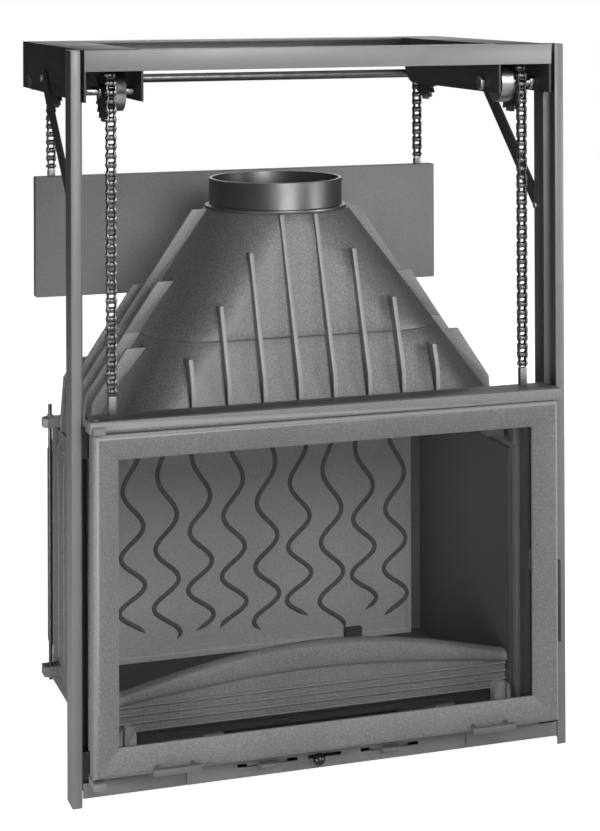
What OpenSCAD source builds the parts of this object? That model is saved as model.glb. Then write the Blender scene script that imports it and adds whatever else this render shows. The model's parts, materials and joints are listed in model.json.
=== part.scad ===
// Wood-burning fireplace insert: a cast-iron firebox and hood between two posts, with a
// glass door that lifts on roller chains against a counterweight. Millimetres, +Z up.
// X is the width, Y the depth from the front of the posts backwards. The origin is the
// centre of the whole part's footprint, at the floor. Left and right are the viewer's,
// so each left part is the mirror of the right one.

/* [Frame] */
// Width over the two front posts
frame_w = 752; // [730:1:800]
// Height of the frame
frame_h = 1050; // [1020:1:1120]
// Depth of the top frame
ring_d = 460; // [450:1:520]
// Thickness of the folded sheet
sheet_t = 2; // [1.5:0.1:3]
// Width of a post's front face
post_face_w = 14; // [10:0.5:18]
// Depth of a post
post_d = 36; // [32:0.5:40]
// Depth of the guide's channel, where the lifting carriage runs
guide_channel_d = 27; // [26:0.1:28]
// Depth of the whole guide
guide_d = 58; // [56:0.5:70]
// How far the guide's rear flange stands inside the post's face
guide_step = 5.5; // [5:0.1:6]
// Width of the guide's front lip, behind the post's face
guide_lip = 3; // [2:0.1:3.5]
// Height of the guides' lower ends above the floor
guide_foot_z = 14; // [5:0.5:20]

/* [Top frame] */
// Height of a side beam
beam_h = 73; // [65:0.5:85]
// Width of a side beam
beam_w = 85; // [80:0.5:95]
// Thickness of a beam's plates
beam_t = 3; // [2:0.1:4]
// How far the inner plate of a beam ends short of the rear
beam_inner_short = 72; // [60:1:90]
// Rounding of the inner plate's rear corner
beam_corner_r = 40; // [20:1:50]
// Height of the front and rear rails
rail_h = 30; // [24:0.5:40]
// Depth of the front rail's top flange
front_flange_d = 30; // [20:1:60]
// Depth of the rear rail's top flange
rear_flange_d = 60; // [20:1:90]
// Width of a brace's flat bar
brace_w = 26; // [20:0.5:27]
// Thickness of a brace's flat bar
brace_t = 4; // [3:0.1:5]
// Depth of a brace's lower bolt
brace_low_y = 50.5; // [50:0.1:51]
// Distance of a brace's lower bolt below the frame's top
brace_drop = 247; // [220:1:270]
// Depth of a brace's upper bolt
brace_high_y = 275; // [230:1:300]
// Diameter of the brace bolts
brace_bolt_d = 6; // [5:0.5:8]

/* [Chain drive] */
// Pitch of the roller chain
chain_pitch = 12.7; // [12.7:0.1:12.8]
// Diameter of a chain roller
roller_d = 8.5; // [8:0.1:8.8]
// Height of a chain plate
link_h = 11.8; // [11:0.1:12.4]
// Width between the chain's plates
chain_inner_w = 7.8; // [7.6:0.1:8.4]
// Thickness of the chain's paired plates
link_t = 2.6; // [2:0.1:3]
// Length of a chain pin
chain_w = 17; // [14:0.1:18]
// Distance of each chain inside the frame's side
chain_side = 61; // [58:0.5:65]
// Teeth on each sprocket
sprocket_teeth = 20; // [20:4:20]
// Distance of the sprockets' axles below the frame's top
sprocket_drop = 60; // [58:0.5:62]
// Depth of the front axles
front_axle_y = 58; // [57:0.5:62]
// Distance from the front to the rear axles, brought to whole links
axle_spacing = 343; // [337:1:349]
// Diameter of the front axles
axle_d = 12; // [10:0.5:16]
// Diameter of the rear shaft
shaft_d = 14; // [12:0.5:16]
// Diameter of the drum beside a front sprocket
drum_d = 58; // [50:1:62]
// Width of the drum
drum_w = 22; // [16:0.5:26]
// Diameter of a rear sprocket's hub
hub_d = 30; // [24:1:40]
// Width of a rear sprocket's hub
hub_w = 16; // [10:0.5:20]

/* [Counterweight] */
// Gap from the frame's side to the counterweight plate
weight_side = 34; // [31:0.5:51]
// Height of the counterweight plate
weight_h = 192; // [150:1:220]
// Thickness of the counterweight plate
weight_t = 19; // [12:0.5:23]
// Distance of its top edge below the frame's top, with the door down
weight_drop = 216; // [200:1:230]
// Rounding of its corners
weight_corner_r = 2; // [1:0.5:12]

/* [Lifting carriage] */
// Gap from the frame's side to the end of the front bar
carriage_side = 19; // [18:0.25:22]
// Height of the front bar
bar_h = 16; // [12:0.5:20]
// How far the front bar stands before the posts
bar_front = 30; // [24:0.5:34]
// Depth of the carriage behind the posts' front
carriage_d = 22; // [20:0.5:23]
// Width of an upright
upright_w = 9; // [6:0.5:12]
// Depth of an upright
upright_d = 14; // [10:0.5:15]
// Size of a chain lug across
lug_w = 11; // [9:0.5:14]
// Shortest chain lug on the carriage
door_lug_h = 22; // [18:0.5:28]
// Shortest chain lug on the counterweight
weight_lug_h = 16; // [12:0.5:20]
// Width of a hinge block
hinge_block_w = 17; // [14:0.5:20]
// Height of a hinge block
hinge_block_h = 9; // [8:0.5:15]
// Distance of the hinge pins inside the front bar's end
hinge_inset = 12; // [11:0.25:13]
// How far a hinge block stands before the posts
hinge_block_front = 38; // [36:0.5:44]
// Diameter of the hinge pins
hinge_pin_d = 8; // [6:0.5:9]
// Length of a hinge pin inside the door
hinge_pin_reach = 18; // [10:1:24]

/* [Door] */
// Gap from the frame's side to the door
door_side = 24; // [23:0.5:31]
// Height of the door
door_h = 475; // [440:1:490]
// Height of the door's lower edge
door_z = 46; // [44:0.5:50]
// Width of the door's frame members
rim_w = 38; // [34:0.5:44]
// Depth of the door
door_d = 26; // [22:0.5:28]
// Rounding of the frame's outer edge
rim_edge_r = 8; // [5:0.5:10]
// How far the frame's face slopes back towards the glass
rim_slope_d = 12; // [6:0.5:13]
// Thickness of the lip in front of the glass
rim_lip_t = 3.5; // [3:0.1:4]
// Overlap of the glass behind the frame
glass_overlap = 10; // [8:0.5:11]
// Thickness of the glass
glass_t = 4; // [3:0.1:5]
// Thickness of the gasket under the glass
gasket_t = 1; // [0.8:0.1:1.5]
// Width of the rope seal round the door
seal_w = 8; // [6:0.5:10]
// Length of a lifting handle
handle_l = 68; // [60:1:90]
// Distance of each handle from the middle
handle_x = 238; // [200:1:260]
// Section of a handle's bar
handle_bar = 8; // [6:0.5:10]
// How far a handle stands off the door
handle_gap = 12; // [10:0.5:18]
// Height of the handles
handle_z = 55; // [54:0.5:60]
// Length of the side catch
catch_l = 120; // [100:1:140]
// Height of the catch's lower end
catch_z = 162; // [150:1:220]
// Thickness of the catch
catch_t = 5; // [4:0.5:6]
// Depth of the catch
catch_d = 14; // [10:0.5:16]
// Diameter of the catch's pivot
catch_pin_d = 6; // [5:0.5:7]

/* [Firebox] */
// Gap from the frame's side to the firebox
box_side = 56; // [51:0.5:76]
// Depth of the firebox's rear face
box_rear_y = 416; // [410:0.5:418]
// Height of the base casting's underside
base_z = 38; // [34:0.5:44]
// Thickness of the cast walls
wall_t = 10; // [8:0.5:14]
// Height of the base casting
base_h = 42; // [38:0.5:50]
// Gap from the side linings' top to the hood
liner_gap = 7; // [3:0.5:12]
// Depth of the cooling ribs
cool_rib_d = 10; // [6:0.5:11]
// Thickness of the cooling ribs
cool_rib_t = 8; // [6:0.5:12]
// Spacing of the cooling ribs
cool_rib_pitch = 40; // [30:1:60]
// Height of the front frame
front_frame_h = 506; // [500:1:510]
// Thickness of the front frame
front_frame_t = 8; // [6:0.5:9]
// Gap from the frame's side to the mouth behind the door
mouth_side = 59; // [56:0.5:66]
// Height of the mouth's floor
mouth_z = 66; // [64:0.5:70]
// Height of the mouth
mouth_h = 434; // [420:1:438]
// Wall of the neck round the mouth
neck_t = 16; // [14:0.5:16]
// Diameter of the tie rods
tie_rod_d = 6; // [5:0.5:8]
// Width of a tie rod's lug
tie_lug_w = 24; // [20:0.5:28]
// Reach of a tie rod's lug
tie_lug_reach = 26; // [22:0.5:28]
// Thickness of a tie rod's lug
tie_lug_h = 15; // [10:0.5:18]
// Depth of the front tie rods
tie_front_y = 82; // [70:1:90]
// Depth of the rear tie rods
tie_rear_y = 362; // [350:1:372]
// Height of the rear feet across
foot_d = 36; // [28:1:50]

/* [Hood] */
// Height of the hood above the walls
hood_rise = 349; // [335:1:365]
// Height of the joint between the two hood castings above the walls
joint_rise = 175; // [155:1:195]
// Height above the walls where the hood turns down to its skirt
skirt_rise = 55; // [35:1:65]
// Gap from the frame's side to the hood's skirt
skirt_side = 64; // [62:0.5:76]
// Height above the skirt where the front ribs bend
rib_kink_rise = 66; // [56:1:76]
// Radius of the hood at its top
hood_top_r = 113; // [110:0.5:118]
// Depth of the flue's centre
flue_y = 247; // [235:1:255]
// Outer diameter of the flue collar
flue_d = 206.8; // [198:0.1:208]
// Height of the flue collar above the hood
flue_h = 46; // [40:1:60]
// Wall of the flue collar
flue_t = 5; // [3:0.5:6]
// Depth of the square throat that joins the hood to the front frame
throat_d = 90; // [84:1:94]
// Wall of the hood castings
hood_t = 8; // [6:0.5:10]
// Thickness of a front rib
front_rib_t = 7; // [5:0.5:9]
// Spacing of the front ribs
front_rib_pitch = 54; // [50:0.5:58]
// Thickness of a side rib
side_rib_t = 8; // [6:0.5:10]
// Spacing of the side ribs
side_rib_pitch = 51; // [46:0.5:54]
// How far a side rib stands out of the hood
side_rib_d = 23; // [16:0.5:26]

/* [Inside] */
// Depth of the fireback's face
fireback_y = 388; // [384:0.5:390]
// Thickness of the fireback
fireback_t = 9; // [7:0.5:10]
// Gap from the frame's side to the fireback
fireback_side = 96; // [81:0.5:126]
// Width of one relief line
relief_w = 8; // [5:0.5:10]
// Height of the relief
relief_d = 2.5; // [2:0.1:4]
// Place of the fireback's stop across the hearth
stop_x = 160; // [150:1:170]
// Width of the stop
stop_w = 28; // [20:1:34]
// Depth of the stop
stop_d = 12; // [8:0.5:16]
// Height of the stop
stop_h = 22; // [14:0.5:26]
// Thickness of the side linings
liner_t = 7; // [5:0.5:9]
// Height of the linings
liner_h = 380; // [340:1:400]
// Thickness of the hearth plate
hearth_t = 10; // [8:0.5:12]
// Width of the grate
grate_w = 300; // [260:1:340]
// Depth of the grate
grate_depth = 200; // [160:1:220]
// Width of a grate bar
grate_bar = 9; // [8:0.5:12]
// Depth of the ash pan
pan_h = 26; // [20:0.5:28]
// Gap from the frame's side to the log guard
guard_side = 76; // [75:0.5:96]
// Depth of the log guard's foot
guard_y = 52; // [51:0.5:60]
// Height of the log guard at its ends
guard_h = 75; // [60:1:90]
// Rise of the log guard's top in the middle
guard_rise = 44; // [10:0.5:48]
// Thickness of the log guard
guard_t = 12; // [8:0.5:16]
// Width of the log guard's ears
ear_w = 26; // [20:0.5:28]
// Height of the ears
ear_h = 33; // [28:0.5:36]
// Depth of the ears
ear_d = 16; // [10:0.5:16]
// Width of the slot in each ear
ear_slot = 3; // [2:0.1:4]
// Gap from the frame's side to the smoke baffle
baffle_side = 136; // [126:0.5:176]
// Thickness of the smoke baffle
baffle_t = 8; // [6:0.5:10]

/* [Air controls] */
// Height of the plinth's lower edge
plinth_z = 13; // [10:0.5:16]
// Thickness of the plinth
plinth_t = 3; // [2:0.1:4]
// Gap from the frame's side to the plinth's middle panel
plinth_side = 163; // [156:0.5:176]
// Height of the air slots' centre line
slot_z = 30; // [28:0.5:31]
// Length of an air slot
slot_l = 90; // [80:1:96]
// Height of an air slot
slot_h = 5; // [4:0.5:6]
// Distance of each air slot from the middle
slot_x = 93; // [90:0.5:98]
// Width of an air tab
tab_w = 28; // [24:0.5:30]
// Reach of an air tab
tab_reach = 12; // [8:0.5:16]
// Thickness of an air slider
slider_t = 2; // [1.5:0.1:3]
// Half the height of an air slider
slider_half = 9; // [7:0.5:10]
// Place of the draught knob across
knob_x = -20; // [-22:0.5:-18]
// Diameter of the draught knob
knob_d = 18; // [14:0.5:20]
// Length of the knob's slot
knob_slot_l = 50; // [46:0.5:54]

/* [Fits] */
// Gap in a running fit, on the radius
run_gap = 0.05; // [0.02:0.01:0.09]
// Gap between sliding or nearly touching faces
slide_gap = 0.3; // [0.2:0.05:0.4]
// Gap round a part that moves past another
free_gap = 2; // [1.5:0.1:2.5]
// Wall of the shaft bushes, and the reach of their flange
bush_wall = 4; // [3:0.25:5]

/* [Hidden] */
$fn = 48;
cut = 1;              // overrun of every cut
skin = 0.1;           // thickness of the slices that a hull joins
hull_fn = 32;
half_share = 0.5;

// The whole part's depth, and the shift that brings its middle to the origin
front_y = -(bar_front + handle_gap + handle_bar);
y_mid = (front_y + ring_d) / 2;

// Frame
post_x = frame_w / 2;
chain_x = post_x - chain_side;
sprocket_z = frame_h - sprocket_drop;
brace_low_z = frame_h - brace_drop;
weight_w = frame_w - 2 * weight_side;
weight_top_z = frame_h - weight_drop;
carriage_w = frame_w - 2 * carriage_side;
door_w = frame_w - 2 * door_side;
box_w = frame_w - 2 * box_side;
mouth_w = frame_w - 2 * mouth_side;
hood_skirt_x = post_x - skirt_side;
fireback_w = frame_w - 2 * fireback_side;
guard_w = frame_w - 2 * guard_side;
baffle_w = frame_w - 2 * baffle_side;
plinth_mid_w = frame_w - 2 * plinth_side;
post_in = post_x - post_face_w;
beam_x = post_in - guide_step;
beam_in = beam_x - beam_w;
beam_z = frame_h - beam_h;
guide_x = post_in + guide_lip;
guide_in = beam_x - sheet_t;
beam_plate_in = beam_x - beam_t;
pitch_r = chain_pitch / (2 * sin(180 / sprocket_teeth));
run_links = round(axle_spacing / chain_pitch);
rear_axle_y = front_axle_y + run_links * chain_pitch;
front_strand_y = front_axle_y - pitch_r;
rear_strand_y = rear_axle_y + pitch_r;
link_angle = 360 / sprocket_teeth;
wrap_links = sprocket_teeth / 4;
inner_plate_y = ring_d - beam_inner_short;
brace_high_z = beam_z + beam_h * 0.31;
nut_share = 1.75;     // a nut or bolt head across, in bolt diameters
nut_h_share = 0.7;    // its height, in bolt diameters

// Lifting carriage
bar_top_z = door_z + door_h + free_gap + bar_h;
bar_z = bar_top_z - bar_h;
carriage_x = carriage_w / 2;
upright_x = guide_in - free_gap - half_share;
upright_y = carriage_d - upright_d - free_gap;
front_links = floor((sprocket_z - bar_top_z - door_lug_h) / chain_pitch);
rear_links = floor((sprocket_z - weight_top_z - weight_lug_h) / chain_pitch);
door_lug_top = sprocket_z - front_links * chain_pitch - link_h / 2 - slide_gap;
weight_lug_top = sprocket_z - rear_links * chain_pitch - link_h / 2 - slide_gap;
hinge_x = carriage_x - hinge_inset;
hinge_y = -bar_front + door_d / 2;
shoe_h = 40;
shoe_t = guide_x - upright_x - slide_gap;
block_z = door_z - hinge_block_h - cut;

// Door
door_x = door_w / 2;
door_top = door_z + door_h;
door_front_y = -bar_front;
door_back_y = door_front_y + door_d;
glass_edge_y = door_front_y + rim_slope_d;
rebate_y = glass_edge_y + rim_lip_t;
glass_y = rebate_y + gasket_t;
pane_w = door_w - 2 * (rim_w - glass_overlap) - 2 * slide_gap;
pane_h = door_h - 2 * (rim_w - glass_overlap) - 2 * slide_gap;
pane_z = door_z + (door_h - pane_h) / 2;
clip_l = 30;
clip_t = door_back_y - glass_y - glass_t;
clip_reach = 10;

// Firebox
box_x = box_w / 2;
flange_y = guide_channel_d - cut;
flange_back = flange_y + front_frame_t;
side_in = box_x - wall_t;
base_top = base_z + base_h;
floor_z = base_z + wall_t;
hearth_z = floor_z + hearth_t;
wall_top_z = hearth_z + liner_h + liner_gap;
mouth_x = mouth_w / 2;
neck_x = mouth_x + neck_t;
neck_z = mouth_z - neck_t;
neck_top = mouth_z + mouth_h + neck_t;
rear_in_y = box_rear_y - wall_t;
tie_x = box_x + tie_lug_reach - tie_lug_w / 2;
tie_top_z = wall_top_z + tie_lug_h * 1.4;
tie_low_z = base_top - tie_lug_h;
rear_rib_pitch = 60;

// Hood
hood_top_z = wall_top_z + hood_rise;
hood_joint_z = wall_top_z + joint_rise;
hood_skirt_z = wall_top_z + skirt_rise;
hood_front_top = flue_y - hood_top_r;
hood_rear_top = flue_y + hood_top_r;
hood_front_skirt = flange_back + tie_rod_d;
hood_rear_skirt = box_rear_y - tie_rod_d;
throat_top = max(mouth_z + mouth_h, wall_top_z) + 1.5 * hood_t;
hood_corner_r = 90;
hood_foot_r = 30;
rib_top_y = hood_front_top - hood_t / 2;
rib_low_y = flange_back + wall_t;
rib_kink_z = hood_skirt_z + rib_kink_rise;
front_rib_top_shares = [1, 0.823, 0.578, 0.34];
side_rib_drop_shares = [0.64, 0.34, 0, 0.4, 0.8];

// Inside
fireback_z = hearth_z;
fireback_h = liner_h + hearth_t;
relief_lines = 10;
relief_steps = 48;
wave_turn = 1080;     // degrees that a line waves through from top to foot
wave_power = 1.4;     // above one, the waves draw closer towards the foot
wave_phase = 67;      // degrees between one line and the next
foot_phase = 77;
wave_reach_shares = [0.7, 0.5];
foot_shares = [0.05, 0.07];
wave_top_share = 0.96;
trough_y = flange_back + wall_t * 2;
trough_d = 34;
trough_w = 466;
grate_y = trough_y + trough_d + grate_bar * 3;
pan_x = grate_w / 2 - grate_bar;
pan_y = trough_y;
pan_d = grate_y + grate_depth - trough_y - grate_bar;

// Helpers
module at_origin() { translate([0, -y_mid, 0]) children(); }
module on_left() { mirror([1, 0, 0]) children(); }
module pair() { children(); on_left() children(); }
module slab(low, high) { translate(low) cube(high - low); }
module along_x(x0, x1) { translate([x0, 0, 0]) rotate([90, 0, 90]) linear_extrude(x1 - x0) children(); }
module along_y(y0, y1) { translate([0, y1, 0]) rotate([90, 0, 0]) linear_extrude(y1 - y0) children(); }
module rod_x(x0, x1, y, z, d) { translate([x0, y, z]) rotate([0, 90, 0]) cylinder(h = x1 - x0, d = d); }
module rod_y(x, y0, y1, z, d) { translate([x, y0, z]) rotate([-90, 0, 0]) cylinder(h = y1 - y0, d = d); }
module rod_z(x, y, z0, z1, d) { translate([x, y, z0]) cylinder(h = z1 - z0, d = d); }
module hex_x(x0, x1, y, z, d) {
  translate([x0, y, z]) rotate([0, 90, 0]) cylinder(h = x1 - x0, d = d, $fn = 6);
}

// Posts: folded channel, front face, outer side and a rear flange that meets the guide
module post() {
  color("darkgray") at_origin() linear_extrude(frame_h) polygon([
    [post_in, 0], [post_x, 0], [post_x, post_d], [beam_x, post_d],
    [beam_x, post_d - sheet_t], [post_x - sheet_t, post_d - sheet_t],
    [post_x - sheet_t, sheet_t], [post_in, sheet_t]]);
}
module post_left() { on_left() post(); }
module post_right() { post(); }

// Guides: a channel for the carriage's shoes, then a stepped rear flange
module guide() {
  color("dimgray") at_origin() translate([0, 0, guide_foot_z]) difference() {
    linear_extrude(beam_z - guide_foot_z) polygon([
      [guide_x - guide_lip, sheet_t], [guide_x + sheet_t, sheet_t], [guide_x + sheet_t, guide_channel_d],
      [beam_x, guide_channel_d], [beam_x, guide_d], [guide_in, guide_d],
      [guide_in, guide_channel_d - sheet_t], [guide_x, guide_channel_d - sheet_t],
      [guide_x, 2 * sheet_t], [guide_x - guide_lip, 2 * sheet_t]]);
    rod_x(guide_in - cut, beam_x + cut, brace_low_y, brace_low_z - guide_foot_z, brace_bolt_d);
  }
}
module guide_left() { on_left() guide(); }
module guide_right() { guide(); }

// Top frame
module front_rail() {
  color("darkgray") at_origin() {
    slab([-beam_x, 0, frame_h - rail_h], [beam_x, sheet_t, frame_h]);
    slab([-beam_in, sheet_t, frame_h - sheet_t], [beam_in, front_flange_d, frame_h]);
  }
}
module rear_rail() {
  color("darkgray") at_origin() {
    slab([-beam_plate_in, ring_d - beam_t, frame_h - rail_h], [beam_plate_in, ring_d, frame_h - beam_t]);
    slab([-beam_in, ring_d - rear_flange_d, frame_h - beam_t], [beam_in, ring_d, frame_h]);
  }
}
module beam() {
  color("#2b2b2b") at_origin() difference() {
    union() {
      slab([beam_plate_in, sheet_t, beam_z], [beam_x, ring_d, frame_h]);
      slab([beam_in, sheet_t, frame_h - beam_t], [beam_x, ring_d, frame_h]);
      along_x(beam_in, beam_in + beam_t) difference() {
        translate([sheet_t, beam_z]) square([inner_plate_y - sheet_t, beam_h]);
        translate([inner_plate_y - beam_corner_r, beam_z]) difference() {
          translate([0, -cut]) square([beam_corner_r + cut, beam_corner_r + cut]);
          translate([0, beam_corner_r]) circle(r = beam_corner_r);
        }
      }
    }
    rod_x(beam_in - cut, beam_x + cut, front_axle_y, sprocket_z, axle_d);
    rod_x(beam_plate_in - cut, beam_x + cut, rear_axle_y, sprocket_z, bush_d);
    rod_x(beam_plate_in - cut, beam_x + cut, brace_high_y, brace_high_z, brace_bolt_d);
  }
}
module beam_left() { on_left() beam(); }
module beam_right() { beam(); }

// Braces: flat bars with round ends, bolted to the beam and to the guide
module brace() {
  color("#2b2b2b") at_origin() along_x(beam_x, beam_x + brace_t) difference() {
    hull() {
      translate([brace_low_y, brace_low_z]) circle(d = brace_w);
      translate([brace_high_y, brace_high_z]) circle(d = brace_w);
    }
    translate([brace_low_y, brace_low_z]) circle(d = brace_bolt_d);
    translate([brace_high_y, brace_high_z]) circle(d = brace_bolt_d);
  }
}
module brace_left() { on_left() brace(); }
module brace_right() { brace(); }

// Bolts with a head inside and a nut outside
module bolt_x(x0, x1, y, z, d) {
  rod_x(x0, x1, y, z, d);
  hex_x(x0 - d * nut_h_share, x0, y, z, d * nut_share);
  hex_x(x1, x1 + d * nut_h_share, y, z, d * nut_share);
}
module frame_bolts() {
  color("silver") at_origin() pair() {
    bolt_x(guide_in, beam_x + brace_t, brace_low_y, brace_low_z, brace_bolt_d);
    bolt_x(beam_plate_in, beam_x + brace_t, brace_high_y, brace_high_z, brace_bolt_d);
  }
}

// Chain drive. The chain's course is counted in links from the carriage's end.
function arc_at(y, turn) = [y - pitch_r * cos(turn), sprocket_z + pitch_r * sin(turn)];
function chain_at(n) =
  n < front_links ? [front_strand_y, sprocket_z - (front_links - n) * chain_pitch] :
  n < front_links + wrap_links ? arc_at(front_axle_y, (n - front_links) * link_angle) :
  n < front_links + wrap_links + run_links ?
    [front_axle_y + (n - front_links - wrap_links) * chain_pitch, sprocket_z + pitch_r] :
  n < front_links + 2 * wrap_links + run_links ?
    arc_at(rear_axle_y, 90 + (n - front_links - wrap_links - run_links) * link_angle) :
  [rear_strand_y, sprocket_z - (n - front_links - 2 * wrap_links - run_links) * chain_pitch];
chain_links = front_links + 2 * wrap_links + run_links + rear_links;
probe = 0.01;
function chain_dir(n) = let(d = chain_at(min(n + probe, chain_links)) - chain_at(max(n - probe, 0))) d / norm(d);
function chain_edge(n, w) = let(d = chain_dir(n)) chain_at(n) + w * [-d[1], d[0]];
link_end_share = 0.46;
waist_share = 0.72;
link_step_shares = [0, 0.22, 0.38, 0.62, 0.78];
link_width_shares = [1, 1, waist_share, waist_share, 1];
function plate_side(side) = concat(
  [[front_strand_y - side * link_h / 4, chain_at(0)[1] - link_h / 2]],
  [for (n = [0:chain_links - 1], k = [0:len(link_step_shares) - 1])
    chain_edge(n + link_step_shares[k], side * link_width_shares[k] * link_h / 2)],
  [chain_edge(chain_links, side * link_h / 2)],
  [[rear_strand_y + side * link_h / 4, chain_at(chain_links)[1] - link_h / 2]]);
function reversed(list) = [for (i = [len(list) - 1:-1:0]) list[i]];
module chain_plates() { polygon(concat(plate_side(1), reversed(plate_side(-1)))); }
module chain_pin() {
  rotate([0, 90, 0]) {
    translate([0, 0, -chain_w / 2]) cylinder(h = chain_w, d = roller_d / 2, $fn = 16);
    translate([0, 0, -chain_inner_w / 2]) cylinder(h = chain_inner_w, d = roller_d, $fn = 24);
  }
}
module chain() {
  color("silver") at_origin() translate([chain_x, 0, 0]) {
    along_x(chain_inner_w / 2, chain_inner_w / 2 + link_t) chain_plates();
    along_x(-chain_inner_w / 2 - link_t, -chain_inner_w / 2) chain_plates();
    for (n = [0:chain_links]) let(p = chain_at(n)) translate([0, p[0], p[1]]) chain_pin();
  }
}
module chain_left() { on_left() chain(); }
module chain_right() { chain(); }

// Sprockets: toothed disc, with a roller in each gap of the quarter that the chain wraps
tooth_root_r = pitch_r - roller_d / 2 - slide_gap;
tooth_tip_r = pitch_r + roller_d * 0.42;
sprocket_t = chain_inner_w - 2 * slide_gap;
tooth_angle_shares = [0.25, 0.372, 0.44, 0.56, 0.628, 0.75];
tooth_radii = [tooth_root_r, pitch_r, tooth_tip_r, tooth_tip_r, pitch_r, tooth_root_r];
module sprocket_outline() {
  polygon([for (t = [0:sprocket_teeth - 1], k = [0:len(tooth_radii) - 1])
    let(a = (t + tooth_angle_shares[k]) * link_angle) tooth_radii[k] * [cos(a), sin(a)]]);
}
module sprocket(y, bore_d, boss_d, boss_w) {
  translate([chain_x, y, sprocket_z]) difference() {
    union() {
      along_x(-sprocket_t / 2, sprocket_t / 2) sprocket_outline();
      rotate([0, -90, 0]) cylinder(h = sprocket_t / 2 + boss_w, d = boss_d);
    }
    rotate([0, -90, 0]) translate([0, 0, -sprocket_t]) cylinder(h = 2 * sprocket_t + boss_w, d = bore_d);
  }
}
module front_sprocket() {
  color("dimgray") at_origin() sprocket(front_axle_y, axle_d + 2 * run_gap, drum_d, drum_w);
}
module front_sprocket_left() { on_left() front_sprocket(); }
module front_sprocket_right() { front_sprocket(); }
module rear_sprocket() { color("dimgray") at_origin() sprocket(rear_axle_y, shaft_d, hub_d, hub_w); }
module rear_sprocket_left() { on_left() rear_sprocket(); }
module rear_sprocket_right() { rear_sprocket(); }

// Front axles: fixed in the beams, with collars that keep the sprockets on the chain line
collar_w = 6;
module front_axles() {
  color("silver") at_origin() pair() {
    rod_x(beam_in, beam_x, front_axle_y, sprocket_z, axle_d);
    rod_x(chain_x + sprocket_t / 2 + slide_gap, chain_x + sprocket_t / 2 + slide_gap + collar_w,
      front_axle_y, sprocket_z, axle_d * nut_share);
    hex_x(beam_x, beam_x + axle_d * nut_h_share, front_axle_y, sprocket_z, axle_d * nut_share);
    hex_x(beam_plate_in - axle_d * nut_h_share, beam_plate_in, front_axle_y, sprocket_z,
      axle_d * nut_share);
    hex_x(beam_in - axle_d * nut_h_share, beam_in, front_axle_y, sprocket_z, axle_d * nut_share);
  }
}

// Rear shaft and the flanged bushes in the beams' outer plates
bush_d = shaft_d + 2 * bush_wall;
bush_flange_d = bush_d + 2 * bush_wall;
bush_l = 12;
module rear_shaft() {
  color("silver") at_origin() rod_x(-beam_x, beam_x, rear_axle_y, sprocket_z, shaft_d);
}
module shaft_bushes() {
  color("#8c6f3a") at_origin() pair() difference() {
    union() {
      rod_x(beam_x - bush_l, beam_x + sheet_t, rear_axle_y, sprocket_z, bush_d);
      rod_x(beam_plate_in - sheet_t, beam_plate_in, rear_axle_y, sprocket_z, bush_flange_d);
    }
    rod_x(beam_x - bush_l - cut, beam_x + slide_gap, rear_axle_y, sprocket_z, shaft_d + 2 * run_gap);
  }
}

// Counterweight: a steel plate hung from the rear strands
module counterweight() {
  color("#737373") at_origin()
    along_y(rear_strand_y - weight_t / 2, rear_strand_y + weight_t / 2) hull()
      for (x = [-1, 1], z = [0, 1])
        translate([x * (weight_w / 2 - weight_corner_r),
          weight_top_z - weight_corner_r - z * (weight_h - 2 * weight_corner_r)])
          circle(r = weight_corner_r);
}
module counterweight_lugs() {
  color("lightgray") at_origin() pair()
    slab([chain_x - lug_w / 2, rear_strand_y - lug_w / 2, weight_top_z],
      [chain_x + lug_w / 2, rear_strand_y + lug_w / 2, weight_lug_top]);
}

// Carriage: front bar over the door, two uprights in the guides, hinge blocks on the left
module carriage() {
  color("#6f6f6f") at_origin() difference() {
    union() {
      slab([-carriage_x, -bar_front, bar_z], [carriage_x, -cut, bar_top_z]);
      slab([-upright_x, -cut, bar_z], [upright_x, carriage_d, bar_top_z]);
      pair() slab([upright_x - upright_w, upright_y, block_z], [upright_x, upright_y + upright_d, bar_z]);
      slab([hinge_left, -hinge_block_front, bar_z], [hinge_right, -cut, bar_z + hinge_block_h]);
      slab([hinge_left, -hinge_block_front, block_z], [hinge_right, -cut, block_z + hinge_block_h]);
      slab([-upright_x, -hinge_block_front + cut, block_z],
        [-upright_x + upright_w, upright_y + cut, block_z + hinge_block_h]);
    }
    rod_z(-hinge_x, hinge_y, block_z - cut, bar_top_z + cut, hinge_pin_d);
  }
}
hinge_left = -hinge_x - hinge_block_w / 2;
hinge_right = hinge_left + hinge_block_w;
module carriage_lugs() {
  color("lightgray") at_origin() pair()
    slab([chain_x - lug_w / 2, front_strand_y - lug_w / 2, bar_top_z],
      [chain_x + lug_w / 2, carriage_d, door_lug_top]);
}
module guide_shoes() {
  color("#d8d4c4") at_origin() pair() for (z = [block_z, bar_z - shoe_h])
    slab([upright_x, 2 * sheet_t + slide_gap, z],
      [upright_x + shoe_t, guide_channel_d - sheet_t - slide_gap, z + shoe_h]);
}
module hinge_pins() {
  color("silver") at_origin() {
    rod_z(-hinge_x, hinge_y, block_z, door_z + hinge_pin_reach, hinge_pin_d);
    rod_z(-hinge_x, hinge_y, door_top - hinge_pin_reach, bar_top_z, hinge_pin_d);
  }
}

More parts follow.
